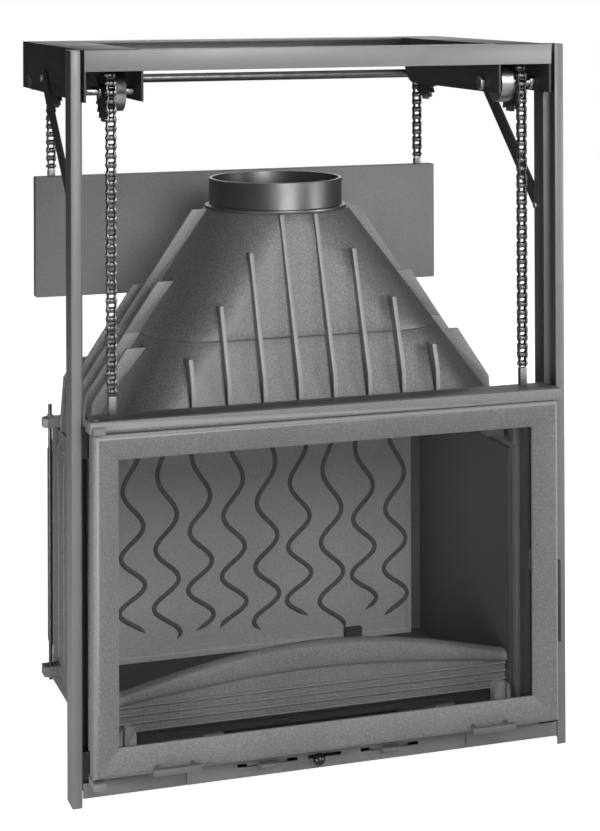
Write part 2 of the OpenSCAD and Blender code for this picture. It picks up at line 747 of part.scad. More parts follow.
// Door frame: one moulded section, mitred at the corners
arc_steps = 6;
rim_section = concat(
  [[0, door_back_y]],
  [for (i = [0:arc_steps]) let(a = i * 90 / arc_steps)
    [rim_edge_r * (1 - cos(a)), door_front_y + rim_edge_r * (1 - sin(a))]],
  [[rim_w, glass_edge_y], [rim_w, rebate_y], [rim_w - glass_overlap, rebate_y],
    [rim_w - glass_overlap, door_back_y]]);
module mitre(half_w, half_h) {
  along_y(door_front_y - cut, door_back_y + cut) polygon([[-half_w, -half_h], [half_w, -half_h],
    [half_w - min(half_w, half_h), -half_h + min(half_w, half_h)],
    [-half_w + min(half_w, half_h), -half_h + min(half_w, half_h)]]);
}
module rim_member(length, span) {
  intersection() {
    along_x(-length / 2, length / 2) polygon([for (p = rim_section) [p[1], p[0] - span / 2]]);
    mitre(length / 2, span / 2);
  }
}
module door_ring() {
  translate([0, 0, door_z + door_h / 2]) for (turn = [0, 1]) {
    rotate([0, turn * 180, 0]) rim_member(door_w, door_h);
    rotate([0, 90 + turn * 180, 0]) rim_member(door_h, door_w);
  }
}
module door_frame() {
  color("#6f6f6f") at_origin() difference() {
    door_ring();
    rod_z(-hinge_x, hinge_y, door_z - cut, door_z + hinge_pin_reach + cut, hinge_pin_d + 2 * run_gap);
    rod_z(-hinge_x, hinge_y, door_top - hinge_pin_reach - cut, door_top + cut,
      hinge_pin_d + 2 * run_gap);
    rod_x(door_x - catch_pin_d * 2, door_x + cut, catch_y, catch_pivot_z, catch_pin_d + 2 * run_gap);
  }
}
module pane(inset, y0, y1) {
  slab([-pane_w / 2 + inset, y0, pane_z + inset], [pane_w / 2 - inset, y1, pane_z + pane_h - inset]);
}
module door_glass() { color("#303030", 0.35) at_origin() pane(0, glass_y, glass_y + glass_t); }
module glass_gasket() {
  color("#b0aca0") at_origin() difference() {
    pane(0, rebate_y, glass_y);
    pane(glass_overlap - slide_gap * 2, rebate_y - cut, glass_y + cut);
  }
}
clip_spots = [[-door_w / 4, 0], [door_w / 4, 0], [-door_w / 4, 1], [door_w / 4, 1]];
module glass_clips() {
  color("dimgray") at_origin() {
    for (spot = clip_spots)
      translate([spot[0] - clip_l / 2, glass_y + glass_t,
        spot[1] == 0 ? door_z + rim_w - glass_overlap : door_top - rim_w + glass_overlap - clip_reach])
        cube([clip_l, clip_t, clip_reach]);
    pair() translate([door_x - rim_w + glass_overlap - clip_reach, glass_y + glass_t,
      door_z + door_h / 2 - clip_l / 2]) cube([clip_reach, clip_t, clip_l]);
  }
}
module seal_ring(grow, y0, y1) {
  slab([-mouth_x - grow, y0, mouth_z - grow], [mouth_x + grow, y1, mouth_z + mouth_h + grow]);
}
module door_seal() {
  color("#3a3a38") at_origin() difference() {
    seal_ring(neck_t, door_back_y, -slide_gap);
    seal_ring(neck_t - seal_w, door_back_y - cut, cut);
  }
}

// Lifting handles: a square bar on two studs, shaped to the frame's rounded edge
module door_handles() {
  color("#4a4a4a") at_origin() pair() {
    slab([handle_x - handle_l / 2, front_y, handle_z - handle_bar / 2],
      [handle_x + handle_l / 2, front_y + handle_bar, handle_z + handle_bar / 2]);
    difference() {
      for (s = [-1, 1])
        rod_y(handle_x + s * (handle_l / 2 - handle_bar), front_y + handle_bar / 2,
          door_front_y + free_gap, handle_z, handle_bar - cut);
      door_ring();
    }
  }
}

// Catch: a lever on the door's right edge, on its own pivot pin
catch_y = door_front_y + door_d / 2;
catch_pivot_z = catch_z + catch_l - catch_d;
module door_catch() {
  color("#3c3c3c") at_origin() {
    slab([door_x + slide_gap, catch_y - catch_d / 2, catch_z],
      [door_x + slide_gap + catch_t, catch_y + catch_d / 2, catch_z + catch_l]);
    rod_x(door_x - catch_pin_d * 2 + slide_gap, door_x + slide_gap + catch_t / 2, catch_y, catch_pivot_z,
      catch_pin_d);
  }
}

// Firebox castings
module tie_lug(y, z) {
  slab([box_x, y - tie_lug_w / 2, z], [box_x + tie_lug_reach, y + tie_lug_w / 2, z + tie_lug_h]);
}
module tie_holes(z) {
  for (y = [tie_front_y, tie_rear_y]) rod_z(tie_x, y, z - cut, z + tie_lug_h + cut, tie_rod_d + slide_gap);
}
module base_casting() {
  color("#4c4c4c") at_origin() difference() {
    union() {
      slab([-box_x, flange_back, base_z], [box_x, box_rear_y, base_top]);
      pair() for (y = [tie_front_y, tie_rear_y]) tie_lug(y, tie_low_z);
    }
    slab([-side_in, flange_back + wall_t, floor_z], [side_in, rear_in_y, base_top + cut]);
    slab([-side_in, flange_back - cut, hearth_z], [side_in, flange_back + wall_t + cut, base_top + cut]);
    slab([-pan_x - slide_gap, pan_y - slide_gap, base_z - cut],
      [pan_x + slide_gap, pan_y + pan_d + slide_gap, floor_z + cut]);
    pair() tie_holes(tie_low_z);
  }
}
cool_rib_count = floor((box_rear_y - flange_back - 2 * cool_rib_pitch / 2) / cool_rib_pitch);
module cool_rib_outline(out0, out1) {
  polygon([[out0, base_top + tie_lug_h], [out1, base_top + tie_lug_h + cool_rib_d],
    [out1, wall_top_z - 3.8 * cool_rib_d], [out0, wall_top_z - 2 * cool_rib_d]]);
}
module side_wall() {
  color("#4c4c4c") at_origin() {
    slab([side_in, flange_back, base_top], [box_x, rear_in_y, wall_top_z]);
    for (i = [0:cool_rib_count])
      let(y = rear_in_y - cool_rib_t - i * cool_rib_pitch)
        along_y(y, y + cool_rib_t) cool_rib_outline(box_x, box_x + cool_rib_d);
  }
}
module side_wall_left() { on_left() side_wall(); }
module side_wall_right() { side_wall(); }
rear_rib_count = floor(side_in / rear_rib_pitch);
module rear_wall() {
  color("#4c4c4c") at_origin() {
    slab([-box_x, rear_in_y, base_top], [box_x, box_rear_y, wall_top_z]);
    for (i = [-rear_rib_count:rear_rib_count])
      along_x(i * rear_rib_pitch - cool_rib_t / 2, i * rear_rib_pitch + cool_rib_t / 2)
        cool_rib_outline(box_rear_y, box_rear_y + cool_rib_d);
  }
}
module front_frame() {
  color("#4c4c4c") at_origin() difference() {
    union() {
      slab([-guide_in, flange_y, plinth_z], [guide_in, flange_back, plinth_z + front_frame_h]);
      slab([-neck_x, 0, neck_z], [neck_x, flange_y, neck_top]);
    }
    slab([-mouth_x, -cut, mouth_z], [mouth_x, flange_back + cut, mouth_z + mouth_h]);
  }
}
foot_pad_h = 8;
module rear_feet() {
  color("dimgray") at_origin() pair() {
    rod_z(box_x * 0.75, tie_rear_y, 0, foot_pad_h, foot_d);
    rod_z(box_x * 0.75, tie_rear_y, foot_pad_h, base_z, foot_d / 2);
  }
}

// Hood castings: a round top that opens into a rounded rectangle over the firebox
module plan_slice(x, y0, y1, r, z, shrink) {
  for (sx = [-1, 1], y = [y0 + r, y1 - r])
    translate([sx * (x - r), y, z]) cylinder(h = skin, r = r - shrink, $fn = hull_fn * 2);
}
module hood_body(shrink, z_grow) {
  hull() {
    translate([0, flue_y, hood_top_z - skin + z_grow])
      cylinder(h = skin, r = hood_top_r - shrink, $fn = hull_fn * 3);
    plan_slice(hood_skirt_x, hood_front_skirt, hood_rear_skirt, hood_corner_r, hood_skirt_z, shrink);
    plan_slice(box_x - tie_rod_d / 3, flange_back, box_rear_y, hood_foot_r, wall_top_z - z_grow, shrink);
  }
}
side_rib_slope = (hood_skirt_x - hood_top_r) / (hood_top_z - hood_skirt_z);
module side_rib_outline(drop) {
  top_z = hood_top_z - drop;
  top_x = hood_top_r + side_rib_d + drop * side_rib_slope;
  low_x = hood_skirt_x + slide_gap * 10;
  low_z = hood_skirt_z + (hood_skirt_x + side_rib_d - low_x) / side_rib_slope;
  polygon([[0, wall_top_z], [box_x, wall_top_z], [box_x, wall_top_z + side_rib_d], [low_x, low_z],
    [top_x, top_z], [0, top_z]]);
}
module side_ribs() {
  for (k = [-2:2])
    let(y = flue_y + k * side_rib_pitch)
      along_y(y - side_rib_t / 2, y + side_rib_t / 2)
        side_rib_outline(side_rib_drop_shares[k + 2] * (hood_top_z - hood_skirt_z));
}
module front_rib_outline(top_z) {
  slope = (rib_top_y - rib_low_y) / (hood_top_z - rib_kink_z);
  polygon([[flue_y, wall_top_z], [flange_back + cut, wall_top_z],
    [rib_low_y, rib_kink_z], [rib_low_y + slope * (top_z - rib_kink_z), top_z], [flue_y, top_z]]);
}
module front_ribs() {
  for (k = [0:len(front_rib_top_shares) - 1])
    let(x = (k + half_share) * front_rib_pitch,
      top_z = hood_skirt_z + front_rib_top_shares[k] * (hood_top_z - hood_skirt_z))
      along_x(x - front_rib_t / 2, x + front_rib_t / 2) front_rib_outline(top_z);
}
module hood_between(z0, z1) {
  color("#5a5a5a") at_origin() intersection() {
    slab([-post_x, 0, z0], [post_x, ring_d, z1]);
    difference() {
      union() {
        hood_body(0, 0);
        slab([-box_x, flange_back, wall_top_z], [box_x, flange_back + throat_d, throat_top]);
        pair() { side_ribs(); front_ribs(); hood_lugs(); }
      }
      hood_body(hood_t, cut);
      pair() tie_holes(tie_top_z - tie_lug_h);
      slab([-side_in + hood_t / 4, flange_back - cut, wall_top_z - cut],
        [side_in - hood_t / 4, flange_back + throat_d - hood_t, throat_top - hood_t]);
    }
  }
}
module hood_lugs() {
  for (y = [tie_front_y, tie_rear_y])
    slab([hood_skirt_x - hood_t * 4, y - tie_lug_w / 2, tie_top_z - tie_lug_h],
      [box_x + tie_lug_reach, y + tie_lug_w / 2, tie_top_z]);
}
module hood_lower() { hood_between(wall_top_z, hood_joint_z); }
module hood_upper() { hood_between(hood_joint_z, hood_top_z); }
flue_r = flue_d / 2;
module flue_collar() {
  color("#5a5a5a") at_origin() translate([0, flue_y, 0]) difference() {
    union() {
      translate([0, 0, hood_top_z]) cylinder(h = flue_h, r = flue_r, $fn = 96);
      translate([0, 0, hood_top_z]) cylinder(h = flue_t, r = hood_top_r - flue_t / 2, $fn = 96);
    }
    translate([0, 0, hood_top_z - cut]) cylinder(h = flue_h + 2 * cut, r = flue_r - flue_t, $fn = 96);
  }
}
baffle_angle = 24;
baffle_d = 210;
baffle_rear_y = fireback_y + fireback_t * 2 / 3;
baffle_z = fireback_z + fireback_h + slide_gap;
module smoke_baffle() {
  color("#4c4c4c") at_origin() translate([-baffle_w / 2, baffle_rear_y - baffle_d * cos(baffle_angle),
    baffle_z + baffle_d * sin(baffle_angle)])
      rotate([-baffle_angle, 0, 0]) cube([baffle_w, baffle_d, baffle_t]);
}

// Inside the firebox. The relief is a row of plain waves that swell towards the foot.
function wave_x(k, t) = let(u = 1 - t) (k - (relief_lines - 1) / 2) * fireback_w / relief_lines
  + fireback_w / 30 * (wave_reach_shares[0] + wave_reach_shares[1] * u)
  * sin(wave_turn * pow(u, wave_power) + wave_phase * k);
function wave_z(k, t) = let(foot = foot_shares[0] + foot_shares[1] * abs(sin(foot_phase * k)))
  fireback_z + fireback_h * (foot + (wave_top_share - foot) * t);
module relief_line(k) {
  along_y(fireback_y - relief_d, fireback_y + cut) polygon(concat(
    [for (i = [0:relief_steps]) let(t = i / relief_steps) [wave_x(k, t) - relief_w / 2, wave_z(k, t)]],
    [for (i = [relief_steps:-1:0]) let(t = i / relief_steps) [wave_x(k, t) + relief_w / 2, wave_z(k, t)]]));
}
module fireback() {
  color("#6b6b6b") at_origin() {
    slab([-fireback_w / 2, fireback_y, fireback_z],
      [fireback_w / 2, fireback_y + fireback_t, fireback_z + fireback_h]);
    for (k = [0:relief_lines - 1]) relief_line(k);
  }
}
module side_lining() {
  color("#2e2e2e") at_origin()
    slab([side_in - liner_t, flange_back + wall_t, hearth_z], [side_in, rear_in_y, hearth_z + liner_h]);
}
module side_lining_left() { on_left() side_lining(); }
module side_lining_right() { side_lining(); }
module hearth_plate() {
  color("#3a3a3a") at_origin() difference() {
    slab([-side_in, flange_back + wall_t, floor_z], [side_in, rear_in_y, hearth_z]);
    slab([-trough_w / 2, trough_y, floor_z - cut], [trough_w / 2, trough_y + trough_d, hearth_z + cut]);
    slab([-grate_w / 2 - slide_gap, grate_y - slide_gap, hearth_z - hearth_t / 2],
      [grate_w / 2 + slide_gap, grate_y + grate_depth + slide_gap, hearth_z + cut]);
    slab([-grate_w / 2 + grate_bar, grate_y + grate_bar, floor_z - cut],
      [grate_w / 2 - grate_bar, grate_y + grate_depth - grate_bar, hearth_z]);
  }
  color("#3a3a3a") at_origin() slab([stop_x, stop_back - stop_d, hearth_z - cut],
    [stop_x + stop_w, stop_back, hearth_z + stop_h]);
}
stop_back = fireback_y - relief_d - slide_gap;
grate_pitch = 2 * grate_bar;
grate_slots = floor((grate_w - 2 * grate_bar) / grate_pitch);
module grate() {
  color("#333333") at_origin() translate([0, 0, hearth_z - hearth_t / 2]) difference() {
    slab([-grate_w / 2, grate_y, 0], [grate_w / 2, grate_y + grate_depth, hearth_t / 2 + cut]);
    for (i = [0:grate_slots - 1])
      let(x = (i - (grate_slots - 1) / 2) * grate_pitch)
        slab([x - grate_bar / 2, grate_y + grate_bar * 2, -cut],
          [x + grate_bar / 2, grate_y + grate_depth - grate_bar * 2, hearth_t]);
  }
}
box_sheet = 1.5;
ash_floor_z = base_z - pan_h - box_sheet;
module ash_box() {
  color("#3a3a3a") at_origin() difference() {
    slab([-pan_x - box_sheet - cut, pan_y - box_sheet - cut, ash_floor_z - box_sheet],
      [pan_x + box_sheet + cut, pan_y + pan_d + box_sheet + cut, base_z]);
    slab([-pan_x - cut, pan_y - cut, ash_floor_z], [pan_x + cut, pan_y + pan_d + cut, base_z + cut]);
  }
}
module ash_pan() {
  color("#555555") at_origin() difference() {
    slab([-pan_x, pan_y, ash_floor_z], [pan_x, pan_y + pan_d, ash_floor_z + pan_h]);
    slab([-pan_x + box_sheet, pan_y + box_sheet, ash_floor_z + box_sheet],
      [pan_x - box_sheet, pan_y + pan_d - box_sheet, ash_floor_z + pan_h + cut]);
  }
}

// Log guard: an arched bar over straight mouldings, with a slotted ear at each end
guard_steps = 24;
guard_top = hearth_z + guard_h;
guard_foot = hearth_z + guard_h / 4;
function guard_arch(x, z, rise) = z + rise * cos(x / guard_w * 180);
module guard_band(z0, z1, y0, y1, low_rise, top_rise) {
  xs = [for (i = [0:guard_steps]) (i / guard_steps - half_share) * guard_w];
  along_y(y0, y1) polygon(concat([for (x = xs) [x, guard_arch(x, z0, low_rise)]],
    [for (x = reversed(xs)) [x, guard_arch(x, z1, top_rise)]]));
}
guard_bar_h = guard_t * 1.4;
moulding_h = guard_t / 3;
mouldings = 4;
moulding_pitch = moulding_h * 2.9;
ear_x = guard_w / 2 - ear_w / 2 + free_gap;
module ear() {
  along_y(guard_y - ear_d, guard_y + cut) difference() {
    union() {
      translate([ear_x - ear_w / 2, hearth_z]) square([ear_w, ear_h - ear_w / 2]);
      translate([ear_x, hearth_z + ear_h - ear_w / 2]) circle(d = ear_w);
    }
    translate([ear_x + ear_w / 6, hearth_z + ear_slot]) square([ear_slot, ear_h]);
  }
}
module log_guard() {
  color("#5c5c5c") at_origin() {
    guard_band(guard_foot, guard_top, guard_y, guard_y + guard_t, 0, guard_rise);
    guard_band(guard_top - guard_bar_h, guard_top - moulding_h / 2, guard_y - moulding_h * 2,
      guard_y + cut, guard_rise / 2, guard_rise);
    for (i = [0:mouldings - 1]) let(z = guard_foot + i * moulding_pitch)
      slab([-guard_w / 2, guard_y - moulding_h, z], [guard_w / 2, guard_y + cut, z + moulding_h]);
    pair() ear();
  }
}

// Tie rods that clamp the side walls between the base and the hood
module tie_rods() {
  color("dimgray") at_origin() pair() for (y = [tie_front_y, tie_rear_y])
    rod_z(tie_x, y, tie_low_z - tie_lug_h / 2, tie_top_z + tie_lug_h * 1.35, tie_rod_d);
}
tie_nut_h = tie_rod_d * nut_h_share;
module tie_nut(y, z) {
  translate([tie_x, y, z]) difference() {
    cylinder(h = tie_nut_h, d = tie_rod_d * nut_share, $fn = 6);
    translate([0, 0, -cut]) cylinder(h = tie_nut_h + 2 * cut, d = tie_rod_d);
  }
}
module tie_rod_nuts() {
  color("dimgray") at_origin() pair() for (y = [tie_front_y, tie_rear_y]) {
    tie_nut(y, tie_top_z);
    tie_nut(y, tie_low_z - tie_nut_h);
  }
}

// Plinth: end panels notched for the hinge block, and a middle panel with the air slots
plinth_top = door_z - cut;
mid_x = plinth_mid_w / 2;
notch_x = upright_x - hinge_block_w - free_gap * 2;
module plinth_ends() {
  color("#4c4c4c") at_origin() pair() {
    slab([mid_x + cut, 0, plinth_z], [notch_x, plinth_t, plinth_top]);
    slab([notch_x, 0, plinth_z], [guide_x - guide_lip - cut, plinth_t, block_z - free_gap]);
    slab([mid_x + cut, plinth_t, plinth_z], [notch_x, flange_y, plinth_z + sheet_t]);
  }
}
module air_slot(x, l) { slab([x - l / 2, -cut, slot_z - slot_h / 2], [x + l / 2, plinth_t + cut, slot_z + slot_h / 2]); }
strip_y = plinth_t + slide_gap + slider_t + slide_gap;
module plinth_middle() {
  color("#4c4c4c") at_origin() {
    difference() {
      slab([-mid_x, 0, plinth_z], [mid_x, plinth_t, plinth_top]);
      for (x = [-slot_x, slot_x]) air_slot(x, slot_l);
      air_slot(knob_x + knob_slot_l / 2 - tie_rod_d * 2, knob_slot_l);
    }
    slab([-mid_x, plinth_t, plinth_z], [mid_x, flange_y, plinth_z + sheet_t]);
    for (z = [slot_z - slider_half - slide_gap - sheet_t, slot_z + slider_half + slide_gap])
      slab([-mid_x, plinth_t, z], [mid_x, strip_y, z + sheet_t]);
    for (z = [slot_z - slider_half - slide_gap - sheet_t, slot_z + slider_half - sheet_t / 2])
      slab([-mid_x, strip_y, z], [mid_x, strip_y + sheet_t, z + sheet_t * 2]);
  }
}
slider_y = plinth_t + slide_gap;
module slider_plate(x, half_l) {
  slab([x - half_l, slider_y, slot_z - slider_half], [x + half_l, slider_y + slider_t, slot_z + slider_half]);
}
module air_slider(x) {
  color("#5c5c5c") at_origin() {
    slider_plate(x, slot_l / 3);
    slab([x - tab_w / 2, -tab_reach, slot_z - slot_h / 2 + slide_gap],
      [x + tab_w / 2, slider_y, slot_z + slot_h / 2 - slide_gap]);
  }
}
module air_slider_left() { air_slider(-slot_x); }
module air_slider_right() { air_slider(slot_x); }
module draught_knob() {
  color("#2a2a2a") at_origin() {
    slider_plate(knob_x, knob_d / 2 + tie_rod_d / 3);
    rod_y(knob_x, -knob_d / 2, slider_y, slot_z, slot_h - 2 * slide_gap);
    translate([knob_x, -knob_d * 0.75, slot_z]) rotate([90, 0, 0]) rotate_extrude() intersection() {
      circle(d = knob_d);
      translate([0, -knob_d / 2]) square([knob_d, knob_d]);
    }
  }
}

post_left();
post_right();
guide_left();
guide_right();
front_rail();
rear_rail();
beam_left();
beam_right();
brace_left();
brace_right();
frame_bolts();
front_axles();
shaft_bushes();
chain_left();
chain_right();
base_casting();
side_wall_left();
side_wall_right();
rear_wall();
front_frame();
hood_lower();
hood_upper();
flue_collar();
smoke_baffle();
fireback();
side_lining_left();
side_lining_right();
hearth_plate();
grate();
ash_box();
ash_pan();
log_guard();
tie_rods();
tie_rod_nuts();
plinth_ends();
plinth_middle();
rear_feet();
front_sprocket_left();
front_sprocket_right();
rear_shaft();
rear_sprocket_left();
rear_sprocket_right();
counterweight();
counterweight_lugs();
carriage();
carriage_lugs();
guide_shoes();
hinge_pins();
door_frame();
door_glass();
glass_gasket();
glass_clips();
door_seal();
door_handles();
door_catch();
air_slider_left();
air_slider_right();
draught_knob();
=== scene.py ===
import json
import math

import bmesh
import bpy
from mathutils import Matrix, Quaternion, Vector


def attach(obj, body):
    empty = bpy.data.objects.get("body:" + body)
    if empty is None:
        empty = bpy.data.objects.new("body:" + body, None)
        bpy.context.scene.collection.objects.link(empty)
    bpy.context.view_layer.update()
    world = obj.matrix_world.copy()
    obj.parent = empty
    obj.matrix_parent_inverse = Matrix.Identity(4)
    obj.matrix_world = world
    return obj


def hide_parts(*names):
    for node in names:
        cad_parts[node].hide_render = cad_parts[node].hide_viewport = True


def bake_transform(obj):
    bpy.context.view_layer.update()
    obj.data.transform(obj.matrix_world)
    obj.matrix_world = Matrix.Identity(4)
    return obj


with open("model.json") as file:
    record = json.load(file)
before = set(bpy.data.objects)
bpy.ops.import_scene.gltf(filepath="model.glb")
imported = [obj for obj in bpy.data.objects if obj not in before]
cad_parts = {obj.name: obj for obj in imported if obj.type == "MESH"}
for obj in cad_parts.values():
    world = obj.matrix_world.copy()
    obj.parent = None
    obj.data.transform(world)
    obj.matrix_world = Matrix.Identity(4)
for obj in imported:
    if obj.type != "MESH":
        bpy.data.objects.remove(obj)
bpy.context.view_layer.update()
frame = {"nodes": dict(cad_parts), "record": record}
mm = 0.001
frontShift = -205  # the posts' front plane, in the frame's own Y, mm


def point(x, y, z):
    # millimetres, Y counted from the posts' front plane
    return Vector((x, y + frontShift, z)) * mm


# the photograph's camera stands almost level, with its picture plane shifted down
cameraSet = {
    "place": (-953.3, -2746.4, 1146.6), "yaw": 18.388, "pitch": -0.247, "roll": -0.204,
    "lens": 87.18, "sensor": 36, "shiftUp": -0.5343, "clipEnd": 60,
}

cameraData = bpy.data.cameras.new("Camera")
cameraData.lens = cameraSet["lens"]
cameraData.sensor_width = cameraSet["sensor"]
cameraData.shift_y = cameraSet["shiftUp"]
cameraData.clip_end = cameraSet["clipEnd"]
cameraObject = bpy.data.objects.new("Camera", cameraData)
bpy.context.collection.objects.link(cameraObject)
yaw, pitch = math.radians(cameraSet["yaw"]), math.radians(cameraSet["pitch"])
looking = Vector((math.sin(yaw) * math.cos(pitch), math.cos(yaw) * math.cos(pitch), -math.sin(pitch)))
cameraObject.location = point(*cameraSet["place"])
turned = looking.to_track_quat("-Z", "Y") @ Quaternion((0, 0, 1), math.radians(cameraSet["roll"]))
cameraObject.rotation_euler = turned.to_euler()
bpy.context.scene.camera = cameraObject
print("camera placed")


def toLinear(hexColour):
    parts = [int(hexColour[i:i + 2], 16) / 255 for i in (1, 3, 5)]
    return [c / 12.92 if c <= 0.04045 else ((c + 0.055) / 1.055) ** 2.4 for c in parts] + [1.0]


def addNode(tree, kind, settings=None, links=None):
    # an input goes by its name, or by its number where names repeat
    node = tree.nodes.new(kind)
    for name, value in (settings or {}).items():
        if isinstance(name, str) and hasattr(node, name):
            setattr(node, name, value)
        else:
            node.inputs[name].default_value = value
    for name, source in (links or {}).items():
        tree.links.new(source, node.inputs[name])
    return node


def startMaterial(name):
    material = bpy.data.materials.new(name)
    material.use_nodes = True
    material.node_tree.nodes.clear()
    return material, material.node_tree


def objectPlace(tree):
    return addNode(tree, "ShaderNodeTexCoord").outputs["Object"]


def scaleFor(sizeMm):
    return 1000 / sizeMm  # object coordinates are metres


def noiseAt(tree, place, sizeMm, detail, roughness=0.5):
    return addNode(tree, "ShaderNodeTexNoise",
                   {"Scale": scaleFor(sizeMm), "Detail": detail, "Roughness": roughness},
                   {"Vector": place}).outputs["Fac"]


def mapBand(tree, value, toBand, fromBand=(0.3, 0.7)):
    # noise seldom leaves 0.3 to 0.7, so that band is stretched as a rule
    settings = {"From Min": fromBand[0], "From Max": fromBand[1], "To Min": toBand[0], "To Max": toBand[1]}
    return addNode(tree, "ShaderNodeMapRange", settings, {"Value": value}).outputs["Result"]


def shaded(tree, colour, shade):
    # a hex colour, or a colour from another node, times a shade
    settings, links = {"data_type": "RGBA", "blend_type": "MULTIPLY", 0: 1.0}, {7: shade}
    if isinstance(colour, str):
        settings[6] = toLinear(colour)
    else:
        links[6] = colour
    return addNode(tree, "ShaderNodeMix", settings, links).outputs[2]


def bumpFrom(tree, height, depthMm):
    return addNode(tree, "ShaderNodeBump", {"Strength": 1.0, "Distance": depthMm * mm},
                   {"Height": height}).outputs["Normal"]


def showSurface(tree, surface):
    addNode(tree, "ShaderNodeOutputMaterial", None, {"Surface": surface})


def showPrincipled(tree, settings, links):
    showSurface(tree, addNode(tree, "ShaderNodeBsdfPrincipled", settings, links).outputs["BSDF"])


castSet = {
    "gritDetail": 3.0, "gritRoughness": 0.65, "fleckBand": (0.42, 0.66),
    "cloudMm": 140, "cloudDetail": 2.0, "cloudShade": (0.92, 1.06),
    "edgeBand": (0.53, 0.6), "edgeWear": (0.0, 0.6), "roughBand": (-0.06, 0.08),
}


def castPaint(name, base, fleck, gritMm, gritDepthMm, rough, edge=None, metallic=0.0):
    # sand-cast grey iron under sprayed paint: the sand shows as fine grit and pale flecks
    material, tree = startMaterial(name)
    place = objectPlace(tree)
    grit = noiseAt(tree, place, gritMm, castSet["gritDetail"], castSet["gritRoughness"])
    cloud = noiseAt(tree, place, castSet["cloudMm"], castSet["cloudDetail"])
    flecks = addNode(tree, "ShaderNodeValToRGB", None, {"Fac": grit})
    for i, colour in enumerate((base, fleck)):
        flecks.color_ramp.elements[i].position = castSet["fleckBand"][i]
        flecks.color_ramp.elements[i].color = toLinear(colour)
    colour = shaded(tree, flecks.outputs["Color"], mapBand(tree, cloud, castSet["cloudShade"]))
    if edge:
        # paint rubbed thin on the sharp edges
        sharp = addNode(tree, "ShaderNodeNewGeometry").outputs["Pointiness"]
        worn = mapBand(tree, sharp, castSet["edgeWear"], castSet["edgeBand"])
        colour = addNode(tree, "ShaderNodeMix", {"data_type": "RGBA", 7: toLinear(edge)},
                         {0: worn, 6: colour}).outputs[2]
    roughness = mapBand(tree, grit, [rough + change for change in castSet["roughBand"]])
    showPrincipled(tree, {"Metallic": metallic, "IOR": 1.5, "Specular IOR Level": 0.5},
                   {"Base Color": colour, "Roughness": roughness,
                    "Normal": bumpFrom(tree, grit, gritDepthMm)})
    return material


sheetSet = {
    "peelMm": 2.5, "peelDepthMm": 0.012, "peelDetail": 2.0, "markMm": 60, "markDetail": 5.0,
    "markRoughness": 0.6, "streak": (0.96, 1.04), "roughBand": (-0.05, 0.08),
}


def sheetPaint(name, base, rough, metallic=0.0):
    # folded mild-steel sheet under a thin coat: smooth, with faint orange peel and handling marks
    material, tree = startMaterial(name)
    place = objectPlace(tree)
    peel = noiseAt(tree, place, sheetSet["peelMm"], sheetSet["peelDetail"])
    marks = noiseAt(tree, place, sheetSet["markMm"], sheetSet["markDetail"], sheetSet["markRoughness"])
    colour = shaded(tree, base, mapBand(tree, marks, sheetSet["streak"]))
    roughness = mapBand(tree, marks, [rough + change for change in sheetSet["roughBand"]])
    showPrincipled(tree, {"Metallic": metallic, "IOR": 1.5},
                   {"Base Color": colour, "Roughness": roughness,
                    "Normal": bumpFrom(tree, peel, sheetSet["peelDepthMm"])})
    return material


steelSet = {
    "stretch": {"X": (1.0, 0.04, 0.04), "Z": (0.04, 0.04, 1.0)}, "lineDetail": 2.0, "stainMm": 14,
    "stainDetail": 4.0, "stainBand": (0.35, 0.7), "stainShade": (1.05, 0.75), "roughBand": (-0.08, 0.12),
}


def bareSteel(name, base, rough, ringMm, ringDepthMm, along="X"):
    # machined or drawn steel: fine tool lines across the turning axis
    material, tree = startMaterial(name)
    place = objectPlace(tree)
    stretched = addNode(tree, "ShaderNodeMapping", {"Scale": steelSet["stretch"][along]}, {"Vector": place})
    lines = noiseAt(tree, stretched.outputs["Vector"], ringMm, steelSet["lineDetail"])
    stain = noiseAt(tree, place, steelSet["stainMm"], steelSet["stainDetail"])
    colour = shaded(tree, base, mapBand(tree, stain, steelSet["stainShade"], steelSet["stainBand"]))
    roughness = mapBand(tree, stain, [rough + change for change in steelSet["roughBand"]])
    showPrincipled(tree, {"Metallic": 1.0}, {"Base Color": colour, "Roughness": roughness,
                                             "Normal": bumpFrom(tree, lines, ringDepthMm)})
    return material


paneSet = {
    "rippleMm": 160, "rippleDepthMm": 0.02, "clear": 0.86, "glossRoughness": 0.02,
    "faceOn": 0.012, "grazing": 0.9, "power": 5.0,
}


def ceramicPane(name):
    # clear glass ceramic, polished on both faces: a thin pane that only dims what is behind it a little
    material, tree = startMaterial(name)
    ripple = noiseAt(tree, objectPlace(tree), paneSet["rippleMm"], 1.0)
    clear = addNode(tree, "ShaderNodeBsdfTransparent", {"Color": [paneSet["clear"]] * 3 + [1.0]})
    gloss = addNode(tree, "ShaderNodeBsdfAnisotropic",
                    {"Color": (1, 1, 1, 1), "Roughness": paneSet["glossRoughness"]},
                    {"Normal": bumpFrom(tree, ripple, paneSet["rippleDepthMm"])})
    # the same gloss on both faces: Fresnel's own node would turn the far face into a mirror at a slant
    slant = addNode(tree, "ShaderNodeLayerWeight", {"Blend": 0.5})
    rise = addNode(tree, "ShaderNodeMath", {"operation": "POWER", 1: paneSet["power"]},
                   {0: slant.outputs["Facing"]})
    share = addNode(tree, "ShaderNodeMath",
                    {"operation": "MULTIPLY_ADD", 1: paneSet["grazing"], 2: paneSet["faceOn"]},
                    {0: rise.outputs["Value"]})
    pane = addNode(tree, "ShaderNodeMixShader", None,
                   {0: share.outputs["Value"], 1: clear.outputs["BSDF"], 2: gloss.outputs["BSDF"]})
    showSurface(tree, pane.outputs["Shader"])
    return material


ropeSet = {
    "strandsPerWave": 6, "distortion": 1.5, "shade": (0.6, 1.2), "depthMm": 0.3, "rough": 0.95,
    "sheen": 0.2,
}


